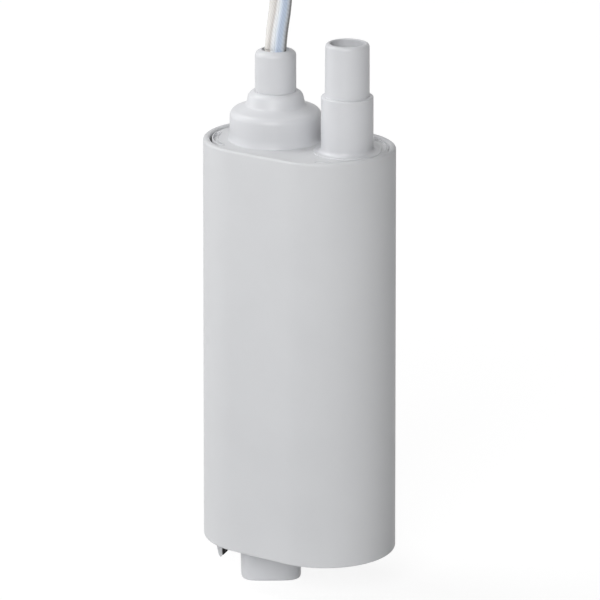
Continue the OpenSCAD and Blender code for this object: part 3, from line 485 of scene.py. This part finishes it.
# %% Metals
def worked_metal(name, colour, roughness, line_mm=0.3, stretch=(1, 1, 30), bump=0.1):
    material, shader = new_material(name, colour, roughness, metallic=1.0)
    place = add_node(material, "TexCoord")
    spread = add_node(material, "Mapping", inputs={
        "Vector": (place, "Object"), "Scale": tuple(per_metre(line_mm) / s for s in stretch)})
    lines = add_node(material, "TexNoise", inputs={
        "Vector": (spread, "Vector"), "Scale": 1.0, "Detail": 3.0})
    gloss = add_node(material, "MapRange", inputs={
        "Value": (lines, "Fac"), "From Min": 0.3, "From Max": 0.7,
        "To Min": roughness - 0.08, "To Max": roughness + 0.08})
    relief = add_node(material, "Bump", inputs={
        "Height": (lines, "Fac"), "Strength": bump, "Distance": line_mm * MM * 0.2})
    link(material, gloss, "Result", shader, "Roughness")
    link(material, relief, "Normal", shader, "Normal")
    return material


drawn_steel = worked_metal("zinc_plated_drawn_steel", "#b9bcc1", 0.34)
ground_steel = worked_metal("ground_stainless_steel", "#c3c5c8", 0.2, 0.2, (20, 20, 1))
screw_steel = worked_metal("zinc_plated_screw", "#b4b7bc", 0.3, 0.4, (1, 1, 1))
tinned_copper = worked_metal("tinned_copper", "#c9c6bf", 0.32, 0.25, (1, 1, 4))
spring_bronze = worked_metal("rolled_spring_bronze", "#cfa95c", 0.3, 0.2, (20, 1, 1))
bare_copper = worked_metal("turned_copper", "#c9774f", 0.28, 0.15, (20, 20, 1))
sintered_bronze = worked_metal("sintered_bronze", "#a97848", 0.45, 0.2, (1, 1, 1), 0.3)
# stacked sheets of 0.5 mm show as rings round the core
laminations = worked_metal("silicon_steel_sheets", "#7d8288", 0.42, 0.5, (60, 60, 1), 0.5)
# ferrite is a sintered ceramic: dark, dull and slightly metallic
ferrite = moulded("sintered_ferrite", ("#2b2b2e", "#35353a"), 0.5, 0.2, 1.5, 0.2, 1.8)
# enamelled wire lies turn beside turn
enamelled_wire = worked_metal("enamelled_copper_wire", "#a8532b", 0.3, 0.5, (1, 1, 12), 0.8)
for tip in (tip_positive, tip_negative):
    tip.data.materials.append(tinned_copper)
print("materials", len(bpy.data.materials))

# %% [markdown]
# Nearly every moulded part here is a turned shape or follows the oval, so two builders make
# them: one spins a profile round an axis, the other lofts it round the oval. The profile is a
# list of corners, each with its radius, because no moulded edge is sharp: the radius is what
# catches the light.

# %% Profiles with rounded corners
def rounded(corners, steps=6, closed=False):
    """Corners are (x, z, radius); each one with a radius becomes an arc."""
    points, count = [], len(corners)
    for i, (x, z, radius) in enumerate(corners):
        corner = Vector((x, z))
        if not radius or (not closed and i in (0, count - 1)):
            points.append((x, z))
            continue
        back = (Vector(corners[i - 1][:2]) - corner).normalized()
        ahead = (Vector(corners[(i + 1) % count][:2]) - corner).normalized()
        half = back.angle(ahead) / 2
        centre = corner + (back + ahead).normalized() * radius / math.sin(half)
        start = corner + back * radius / math.tan(half) - centre
        turn = start.angle_signed(corner + ahead * radius / math.tan(half) - centre)
        for k in range(steps + 1):
            angle = -turn * k / steps
            points.append((centre.x + start.x * math.cos(angle) - start.y * math.sin(angle),
                           centre.y + start.x * math.sin(angle) + start.y * math.cos(angle)))
    return points


def skin(name, rings, closed=False):
    """A mesh over rings of points; a ring may be a single point. closed joins last to first."""
    work = bmesh.new()
    rows = [[work.verts.new(Vector(p) * MM) for p in ring] for ring in rings]
    for near, far in zip(rows, rows[1:] + rows[:1] if closed else rows[1:]):
        count = max(len(near), len(far))
        for j in range(count):
            k = (j + 1) % count
            loop = [near[j % len(near)], near[k % len(near)],
                    far[k % len(far)], far[j % len(far)]]
            loop = [v for n, v in enumerate(loop) if v not in loop[:n]]
            if len(loop) > 2:
                work.faces.new(loop)
    if not closed:
        for row in (rows[0], rows[-1]):
            if len(row) > 2:
                work.faces.new(row)
    bmesh.ops.recalc_face_normals(work, faces=work.faces)
    mesh = bpy.data.meshes.new(name)
    work.to_mesh(mesh)
    work.free()
    made = new_object(name, mesh)
    print(name, len(mesh.vertices), "vertices", len(mesh.polygons), "faces")
    return made


def spin(name, profile, x, closed=True, steps=96):
    """Spins a profile of (r, z) points round the upright axis at x."""
    angles = [2 * math.pi * i / steps for i in range(steps)]
    rings = []
    for r, z in profile:
        on_axis = r < 1e-6
        rings.append([(x, 0, z)] if on_axis else
                     [(x + r * math.cos(a), r * math.sin(a), z) for a in angles])
    return skin(name, rings, closed)


def oval(inset, z, arc_steps=56):
    """A ring that runs round the casing's outline, drawn in by a distance."""
    r = END_R - inset
    ring = []
    for side, start in ((1, -90), (-1, 90)):
        for i in range(arc_steps + 1):
            a = math.radians(start + 180 * i / arc_steps)
            ring.append((side * END_X + r * math.cos(a), r * math.sin(a), z))
    return ring


def finish_piece(piece, material, slot, *nodes):
    piece.data.materials.append(material)
    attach(piece, "housing")
    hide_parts(*nodes)


# %% [markdown]
# The casing is one oval tube, open at both ends. Its mould opens lengthwise, so the walls have
# a slight draft: the lower edge is about a third of a millimetre larger all round. Both lips
# are rounded, and a ledge inside each end stops the cap.

# %% Casing
DRAFT = 0.35
LEDGE_WIDTH, LEDGE_THICKNESS = 1.0, 1.5
cap_under = box_mm("top_cap")[0].z      # the top cap lies on the upper ledge
base_high = box_mm("bottom_cap")[1].z   # the bottom cap's skirt meets the lower ledge
lower_ledge_z = base_high + LEDGE_THICKNESS
ledge_inset = WALL + LEDGE_WIDTH

casing_profile = rounded([
    (-DRAFT, EDGE_Z, 0.6), (0, RIM_Z, 0.7), (WALL, RIM_Z, 0.6),
    (WALL, cap_under, 0), (ledge_inset, cap_under, 0.1),
    (ledge_inset, cap_under - LEDGE_THICKNESS, 0.1),
    (WALL, cap_under - LEDGE_THICKNESS, 0), (WALL, lower_ledge_z, 0),
    (ledge_inset, lower_ledge_z, 0.1), (ledge_inset, base_high, 0.1),
    (WALL, base_high, 0), (WALL, EDGE_Z, 0.4)], closed=True)
casing = skin("casing_shell", [oval(inset, z) for inset, z in casing_profile], closed=True)
finish_piece(casing, grey_abs, "shell_abs", "casing")

# %% [markdown]
# A hole in a moulded plate is easiest to cut with Blender's Boolean modifier, whose result is
# then kept as the mesh. The same helper joins a small block to a plate.

# %% Boolean helper
def combine(piece, other, operation):
    step = piece.modifiers.new("combine", "BOOLEAN")
    step.operation = operation
    step.object = other
    step.solver = "EXACT"
    graph = bpy.context.evaluated_depsgraph_get()
    mesh = bpy.data.meshes.new_from_object(piece.evaluated_get(graph))
    piece.modifiers.remove(step)
    piece.data = mesh
    mesh.name = piece.name
    shade(mesh)
    bpy.data.objects.remove(other)


def drill(piece, x, r, low, high):
    cutter = spin("cutter", [(0, low), (r, low), (r, high), (0, high)], x, closed=False)
    combine(piece, cutter, "DIFFERENCE")


# %% [markdown]
# The top cap is an oval plate that drops into the casing's mouth, a hair off its middle, so the
# gap is wider at one end. The seal's groove runs in its edge, and the floor is smooth.

# %% Top cap
gland_low, gland_high = box_mm("gland_body")
spigot_low, spigot_high = box_mm("hose_spigot")
GLAND_X = (gland_low.x + gland_high.x) / 2
RISER_X = (spigot_low.x + spigot_high.x) / 2
FLOOR_Z = RIM_Z - 0.3                   # the cap's upper side
CAP_GAP = 0.3                           # between the casing's wall and the cap
CAP_SHIFT = 0.27                        # how far the cap sits off the middle
PLATE_INSET = 8                         # a plate's rings end this far inside the outline
SEAL_DEPTH, SEAL_HEIGHT = 0.9, 1
GLAND_HOLE_R, SPIGOT_HOLE_R = 9.0, 5.9
cap_inset = WALL + CAP_GAP
groove_z = cap_under + 0.7
top_cap_profile = rounded([
    (PLATE_INSET, cap_under, 0), (cap_inset, cap_under, 0.15), (cap_inset, groove_z, 0),
    (cap_inset + SEAL_DEPTH, groove_z, 0), (cap_inset + SEAL_DEPTH, groove_z + SEAL_HEIGHT, 0),
    (cap_inset, groove_z + SEAL_HEIGHT, 0), (cap_inset, FLOOR_Z, 0.12),
    (PLATE_INSET, FLOOR_Z, 0)], steps=4)
top_cap = skin("top_cap_plate", [[(x + CAP_SHIFT, y, z) for x, y, z in oval(inset, z)]
                                 for inset, z in top_cap_profile])
drill(top_cap, GLAND_X, GLAND_HOLE_R, cap_under - 1, RIM_Z + 1)
drill(top_cap, RISER_X, SPIGOT_HOLE_R, cap_under - 1, RIM_Z + 1)
finish_piece(top_cap, grey_abs, "shell_abs", "top_cap")

# %% [markdown]
# Four shallow curved pockets lie near the cap's edge, where the mould thins the plate. Plastic
# draws in as it cools, so a thin rim stands round each: the rim is joined on as a low island,
# and the pocket is then cut through it. The pair at the spigot's end is hardly more than a mark.

# %% Pockets in the top cap
POCKET_R = END_R - 2.85                 # radius of a pocket's middle line
POCKET_HALF_WIDTH = 0.45
POCKET_FROM, POCKET_TO = math.radians(17), math.radians(63)
# each ring is how far it stands outside the pocket's outline, and its height above the floor
RIM_RINGS = ((0.3, -0.2), (0.3, 0.06), (0.26, 0.15), (0.18, 0.2), (-0.1, 0.2))
POCKET_RINGS = ((-0.12, -0.48), (-0.03, -0.45), (0, -0.38), (0.01, 0.12), (0.07, 0.18),
                (0.2, 0.28))
POCKET_SHARES = ((-1, 1.0), (1, 0.3))   # the cap's end, and the heights' share there


def band(end, side, grow, z, steps=20, tip_steps=8):
    """The outline of a curved pocket with round ends, widened by a distance."""
    half = POCKET_HALF_WIDTH + grow
    angles = [POCKET_FROM + (POCKET_TO - POCKET_FROM) * i / steps for i in range(steps + 1)]
    ring = []
    for arc, off, tip, turn in ((angles, half, POCKET_TO, 0),
                                (angles[::-1], -half, POCKET_FROM, math.pi)):
        ring += [((POCKET_R + off) * math.cos(a), (POCKET_R + off) * math.sin(a)) for a in arc]
        for k in range(1, tip_steps):
            a = tip + turn + math.pi * k / tip_steps
            ring.append((POCKET_R * math.cos(tip) + half * math.cos(a),
                         POCKET_R * math.sin(tip) + half * math.sin(a)))
    return [(end * (END_X + x), side * y, z) for x, y in ring]


for end, share in POCKET_SHARES:
    for side in (-1, 1):
        for name, profile, operation in (("pocket_rim", RIM_RINGS, "UNION"),
                                         ("pocket", POCKET_RINGS, "DIFFERENCE")):
            rings = [band(end, side, grow, FLOOR_Z + z * share) for grow, z in profile]
            combine(top_cap, skin(name, rings), operation)

# %% [markdown]
# The cable gland has two tiers: a wide ring with a sloping shoulder, and a dome. The ring
# spreads a little towards its foot and stands on a thin step. A hairline gap shows where the
# sleeve stands in the dome.

# %% Cable gland
GLAND_R = (gland_high.x - gland_low.x) / 2
sleeve_low, sleeve_high = box_mm("cable_sleeve")
SLEEVE_R = (sleeve_high.x - sleeve_low.x) / 2
NECK_R = GLAND_R - 1.9                  # passes through the cap
NECK_BORE_R = NECK_R - 1.5
STEP_R = GLAND_R + 0.42
DOME_FOOT_R, DOME_R = 7.0, 6.2
DOME_TOP = RIM_Z + 11.3
SEAT_Z = RIM_Z + 9.6                    # the hairline gap goes down to here
DOME_BORE_R = SLEEVE_R - 0.7
HAIRLINE = 0.03
gland_profile = rounded([
    (NECK_BORE_R, gland_low.z, 0), (NECK_R, gland_low.z, 0), (NECK_R, FLOOR_Z, 0),
    (STEP_R, FLOOR_Z, 0), (STEP_R, FLOOR_Z + 0.12, 0.06),
    (GLAND_R + 0.3, FLOOR_Z + 0.16, 0), (GLAND_R, FLOOR_Z + 1.2, 7),
    (GLAND_R, RIM_Z + 6.6, 2.0), (DOME_FOOT_R, RIM_Z + 7.95, 0.8),
    (DOME_R, DOME_TOP, 1.7), (SLEEVE_R + HAIRLINE, DOME_TOP, 0.08),
    (SLEEVE_R + HAIRLINE, SEAT_Z, 0), (DOME_BORE_R, SEAT_Z, 0),
    (DOME_BORE_R, RIM_Z + 2, 0), (NECK_BORE_R, RIM_Z + 2, 0)], closed=True)
gland = spin("cable_gland", gland_profile, GLAND_X)
finish_piece(gland, grey_abs_fittings, "spigot_abs", "gland_body")

# %% [markdown]
# The sleeve is a round neck whose top rises a little towards its mouth and is well rounded
# outside. The mouth is round and a little wider than the flex, so a dark crescent shows on both
# sides.

# %% Cable sleeve
MOUTH_R = SLEEVE_R - 1.6
MOUTH_FLOOR = sleeve_high.z - 0.7
STUB_R = SLEEVE_R - 0.85                # the part that stands inside the dome
STUB_LOW, STUB_HIGH = RIM_Z + 2.4, RIM_Z + 9.9
sleeve_profile = rounded([
    (0, STUB_LOW, 0), (STUB_R, STUB_LOW, 0.2), (STUB_R, STUB_HIGH, 0),
    (SLEEVE_R, STUB_HIGH, 0.1), (SLEEVE_R, sleeve_high.z - 0.42, 1.3),
    (MOUTH_R, sleeve_high.z + 0.27, 0.12), (MOUTH_R, MOUTH_FLOOR, 0.2), (0, MOUTH_FLOOR, 0)])
sleeve = spin("cable_sleeve_neck", sleeve_profile, GLAND_X, closed=False)
finish_piece(sleeve, grey_abs_fittings, "spigot_abs", "cable_sleeve")

# %% [markdown]
# The spigot takes a 10 mm hose on its upper step and a 12 mm hose on its lower one. Its mouth
# is rounded inside and out, and its foot flows into the cap on a low round pad.

# %% Hose spigot
LOWER_R, UPPER_R, BORE_R = 6.1, 5.15, 3.95
STEP_Z = RIM_Z + 13                     # where the lower step ends
SOCKET_R, SOCKET_OUT_R = 5.1, 6.9       # the socket for the riser, below the cap
SOCKET_END = spigot_low.z + 6.5
SPIGOT_NECK_R, PAD_R = 5.8, 7.9
PAD_LOW, PAD_TOP = FLOOR_Z - 0.1, FLOOR_Z + 0.18
spigot_profile = rounded([
    (SOCKET_R, spigot_low.z, 0.2), (SOCKET_OUT_R, spigot_low.z, 0.2),
    (SOCKET_OUT_R, cap_under, 0), (SPIGOT_NECK_R, cap_under, 0), (SPIGOT_NECK_R, PAD_LOW, 0),
    (PAD_R, PAD_LOW, 0), (PAD_R, PAD_TOP, 0.12), (LOWER_R + 0.02, PAD_TOP, 1.0),
    (LOWER_R, STEP_Z, 0.3), (UPPER_R + 0.05, STEP_Z, 0.15), (UPPER_R, spigot_high.z, 0.88),
    (BORE_R, spigot_high.z, 0.3), (BORE_R, SOCKET_END, 0), (SOCKET_R, SOCKET_END, 0)],
    closed=True)
spigot = spin("stepped_hose_spigot", spigot_profile, RISER_X)
finish_piece(spigot, grey_abs_fittings, "spigot_abs", "hose_spigot")

# %% [markdown]
# The bottom cap closes the casing a little above its lower edge. The inlet nub passes through
# it. Beside the nub stands a grey guard, moulded with the cap, and against it the black rubber
# bleed valve, a small duckbill that lets trapped air out.

# %% Bottom cap
nub_low, nub_high = box_mm("inlet_nub")
NUB_X = (nub_low.x + nub_high.x) / 2
NUB_HOLE_R = 7.5
BASE_UNDER = EDGE_Z + 1.5
BASE_TOP = BASE_UNDER + 2.4
BASE_GROOVE_LOW, BASE_GROOVE_HIGH = BASE_UNDER + 0.7, BASE_UNDER + 1.7
base_inset, skirt_inset = WALL + 0.25, WALL + 1.1
base_profile = rounded([
    (PLATE_INSET, BASE_UNDER, 0), (base_inset, BASE_UNDER, 0.25),
    (base_inset, BASE_GROOVE_LOW, 0), (skirt_inset, BASE_GROOVE_LOW, 0),
    (skirt_inset, BASE_GROOVE_HIGH, 0), (base_inset, BASE_GROOVE_HIGH, 0),
    (base_inset, base_high, 0.15), (skirt_inset, base_high, 0.15),
    (skirt_inset, BASE_TOP, 0.3), (PLATE_INSET, BASE_TOP, 0)], steps=4)
base = skin("bottom_cap_plate", [oval(inset, z) for inset, z in base_profile])
drill(base, NUB_X, NUB_HOLE_R, BASE_UNDER - 1, BASE_TOP + 1)

VALVE_DEPTH = 2.4
VALVE_TIP = EDGE_Z - 4.95
VALVE_RING_R = END_R - WALL - 2.3       # the valve stands on a ring round the oval's end
VALVE_ANGLE = math.radians(226.3)
valve_spot = Vector((VALVE_RING_R * math.cos(VALVE_ANGLE) - END_X,
                     VALVE_RING_R * math.sin(VALVE_ANGLE), 0))
print("valve stands at", tuple(round(v, 2) for v in valve_spot))


def prism(name, profile, depth, bevel):
    """Stands a flat outline upright beside the nub and gives it depth and rounded edges."""
    away = Vector((view_right.y, -view_right.x, 0))
    rings = [[valve_spot + x * view_right + Vector((0, 0, z)) + side * depth / 2 * away
              for x, z in profile] for side in (-1, 1)]
    made = skin(name, rings)
    edge = made.modifiers.new("rounded_edges", "BEVEL")
    edge.width = bevel * MM
    edge.segments = 3
    graph = bpy.context.evaluated_depsgraph_get()
    made.data = bpy.data.meshes.new_from_object(made.evaluated_get(graph))
    made.modifiers.clear()
    return made


GUARD_ROOT = BASE_UNDER + 0.5
guard = prism("guard", [
    (-1.6, GUARD_ROOT), (-1.4, VALVE_TIP + 3.2), (-0.9, VALVE_TIP + 0.7),
    (-0.55, VALVE_TIP + 0.1), (-0.3, VALVE_TIP), (-0.05, VALVE_TIP + 0.2),
    (-0.05, GUARD_ROOT)], VALVE_DEPTH, 0.08)
combine(base, guard, "UNION")
finish_piece(base, grey_abs, "shell_abs", "bottom_cap")

# %% [markdown]
# The bleed valve is soft black rubber. It leans against the guard and stays a little shorter,
# so that the guard takes the knocks; its tip is cut aslant.

# %% Bleed valve
valve = prism("rubber_bleed_valve", [
    (0, BASE_UNDER), (0, VALVE_TIP + 0.45), (0.25, VALVE_TIP + 0.5), (1.5, VALVE_TIP + 1.75),
    (2, VALVE_TIP + 2.6), (2, BASE_UNDER)], VALVE_DEPTH, 0.1)
finish_piece(valve, black_rubber, "black_rubber", "bleed_valve")

# %% [markdown]
# The inlet nub is a short tapered cup. Where it passes through the cap it is round, and towards
# its foot it grows softly square, so that it stands more firmly. Such an outline is a
# superellipse: with a power of 2 it is a circle, and higher powers push it out at the corners.
# The slotted strainer sits a millimetre up inside the foot.

# %% Inlet nub
NUB_TOP_R, NUB_FOOT_R, INLET_R = 7.4, 7.2, 4.6
STRAINER_R, STRAINER_Z = 5.55, 0.9
FLANGE_R = NUB_TOP_R + 1.4              # rests on the bottom cap
FOOT_POWER = 4.5
SQUARING = 4                            # height over which the outline grows square
NUB_TURN = math.radians(37)             # the foot's sides against the casing's
WALL_STEPS = 8


def nub_ring(r, z, steps=96):
    """A ring of the nub; its outside grows square towards the foot, its inside stays round."""
    outside = r > STRAINER_R + 0.5
    squareness = min(max((EDGE_Z - z) / SQUARING, 0), 1) if outside else 0
    power = 2 + (FOOT_POWER - 2) * squareness
    ring = []
    for i in range(steps):
        a = 2 * math.pi * i / steps
        reach = r / (abs(math.cos(a)) ** power + abs(math.sin(a)) ** power) ** (1 / power)
        ring.append((NUB_X + reach * math.cos(a + NUB_TURN), reach * math.sin(a + NUB_TURN), z))
    return ring


nub_wall = [(NUB_TOP_R - (NUB_TOP_R - NUB_FOOT_R) * i / WALL_STEPS,
             EDGE_Z * (1 - i / WALL_STEPS), 0) for i in range(WALL_STEPS - 1, 0, -1)]
nub_profile = rounded([(INLET_R, 0, 0.3), (NUB_FOOT_R, 0, 0.5)] + nub_wall + [
    (NUB_TOP_R, EDGE_Z, 0), (NUB_TOP_R, BASE_TOP, 0),
    (FLANGE_R, BASE_TOP, 0.1), (FLANGE_R, nub_high.z, 0.1), (STRAINER_R, nub_high.z, 0.1),
    (STRAINER_R, STRAINER_Z, 0), (INLET_R, STRAINER_Z, 0.1)], closed=True)
nub = skin("inlet_nub_cup", [nub_ring(r, z) for r, z in nub_profile], closed=True)
finish_piece(nub, grey_abs_fittings, "spigot_abs", "inlet_nub")

# %% [markdown]
# The parts inside keep their CAD shapes, which are exact. Each gets the finish of its real
# material in place of the plain colour.

# %% Finishes of the inner parts
inner = {
    "inlet_strainer": grey_abs_fittings, "seal_retainer": grey_abs_fittings,
    "riser_pipe": pipe_pvc, "chamber_cover": glass_nylon, "pump_chamber": glass_nylon,
    "seal_plate": glass_nylon, "centring_plate": glass_nylon, "impeller": acetal,
    "motor_endbell": ivory_nylon, "shaft_seal": black_rubber, "top_cap_seal": grey_rubber,
    "cable_seal": grey_rubber, "riser_seals": grey_rubber, "bottom_cap_seal": grey_rubber,
    "chamber_gasket": grey_rubber, "cover_screws": screw_steel, "motor_screws": screw_steel,
    "motor_can": drawn_steel, "magnets": ferrite, "lower_bearing": sintered_bronze,
    "upper_bearing": sintered_bronze, "brushes": graphite, "brush_arms": spring_bronze,
    "motor_terminals": tinned_copper, "suppressor": ceramic, "motor_shaft": ground_steel,
    "armature_core": laminations, "armature_windings": enamelled_wire,
    "commutator_sleeve": phenolic, "commutator_segments": bare_copper,
    "lead_positive": core_pvc, "lead_negative": blue_pvc}
for name, material in inner.items():
    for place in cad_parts[name].material_slots:
        place.material = material
print("finished", len(inner), "inner parts")

# %% [markdown]
# A pale floor fills the whole view. Seen by the camera it is mostly its own white, so that the
# ground stays plain, but it keeps a soft shadow where the pump stands.

# %% Floor and surroundings
FLOOR_SIZE = 8.0
floor_mesh = bpy.data.meshes.new("floor")
half = FLOOR_SIZE / 2
floor_mesh.from_pydata([(-half, -half, 0), (half, -half, 0), (half, half, 0), (-half, half, 0)],
                       [], [(0, 1, 2, 3)])
floor = bpy.data.objects.new("floor", floor_mesh)
bpy.context.collection.objects.link(floor)
white_floor, floor_shader = new_material("white_floor", "#f2f2f2", 0.8)


def seen_or_mirrored(owner):
    """1 where the camera sees the surroundings, also in a reflection or through glass."""
    rays = add_node(owner, "LightPath")
    seen = add_node(owner, "Math", {"operation": "ADD", "use_clamp": True}, {
        0: (rays, "Is Camera Ray"), 1: (rays, "Is Glossy Ray")})
    return add_node(owner, "Math", {"operation": "ADD", "use_clamp": True}, {
        0: (seen, "Value"), 1: (rays, "Is Transmission Ray")})


# together these are not quite full white: the lamps add the rest, so that a shadow shows
GLOW_SHARE, GLOW_STRENGTH = 0.8, 1.1
white_share = add_node(white_floor, "Math", {"operation": "MULTIPLY"}, {
    0: (seen_or_mirrored(white_floor), "Value"), 1: GLOW_SHARE})
glow = add_node(white_floor, "Emission", inputs={
    "Color": (1, 1, 1, 1), "Strength": GLOW_STRENGTH})
blend = add_node(white_floor, "MixShader", inputs={
    0: (white_share, "Value"), 1: (floor_shader, "BSDF"), 2: (glow, "Emission")})
floor_output = white_floor.node_tree.nodes["Material Output"]
link(white_floor, blend, "Shader", floor_output, "Surface")
floor_mesh.materials.append(white_floor)

world = bpy.data.worlds.new("studio")
bpy.context.scene.world = world
world.use_nodes = True
AMBIENT = 0.035                         # what the surroundings add to the lamps' light
WORLD_SEEN = 1.0                        # how bright they look
sky = world.node_tree.nodes["Background"]
sky.inputs["Color"].default_value = (1, 1, 1, 1)
level = add_node(world, "MapRange", inputs={
    "Value": (seen_or_mirrored(world), "Value"), "To Min": AMBIENT, "To Max": WORLD_SEEN})
link(world, level, "Result", sky, "Strength")

# %% [markdown]
# Four broad lamps stand five metres off, so the light is as strong at the pump's foot as at its
# top. One lights the front, two stand behind it to the left, one high and one low, and a weak
# one hangs above. The right-hand side stays darker, which gives the oval its roundness.

# %% Lamps
LAMP_DISTANCE, LAMP_SIZE = 5, 3.1       # in metres
LAMP_TARGET = Vector((0, 0, 0.06))


def soft_lamp(name, azimuth, elevation, power):
    """An area lamp; azimuth is counted from the camera's side, to the right."""
    a = CAMERA_AZIMUTH + math.radians(azimuth)
    e = math.radians(elevation)
    way = Vector((math.sin(a) * math.cos(e), -math.cos(a) * math.cos(e), math.sin(e)))
    data = bpy.data.lights.new(name, "AREA")
    data.shape = "DISK"
    data.size = LAMP_SIZE
    data.energy = power
    lamp = bpy.data.objects.new(name, data)
    lamp.location = LAMP_TARGET + LAMP_DISTANCE * way
    lamp.rotation_euler = (-way).to_track_quat("-Z", "Y").to_euler()
    bpy.context.collection.objects.link(lamp)


soft_lamp("front_lamp", -12, 28, 155)
soft_lamp("back_left_lamp", -110, 50, 114)
soft_lamp("low_left_lamp", -110, 8, 58)
soft_lamp("top_lamp", 0, 85, 22)
bpy.context.scene.view_settings.view_transform = "Standard"
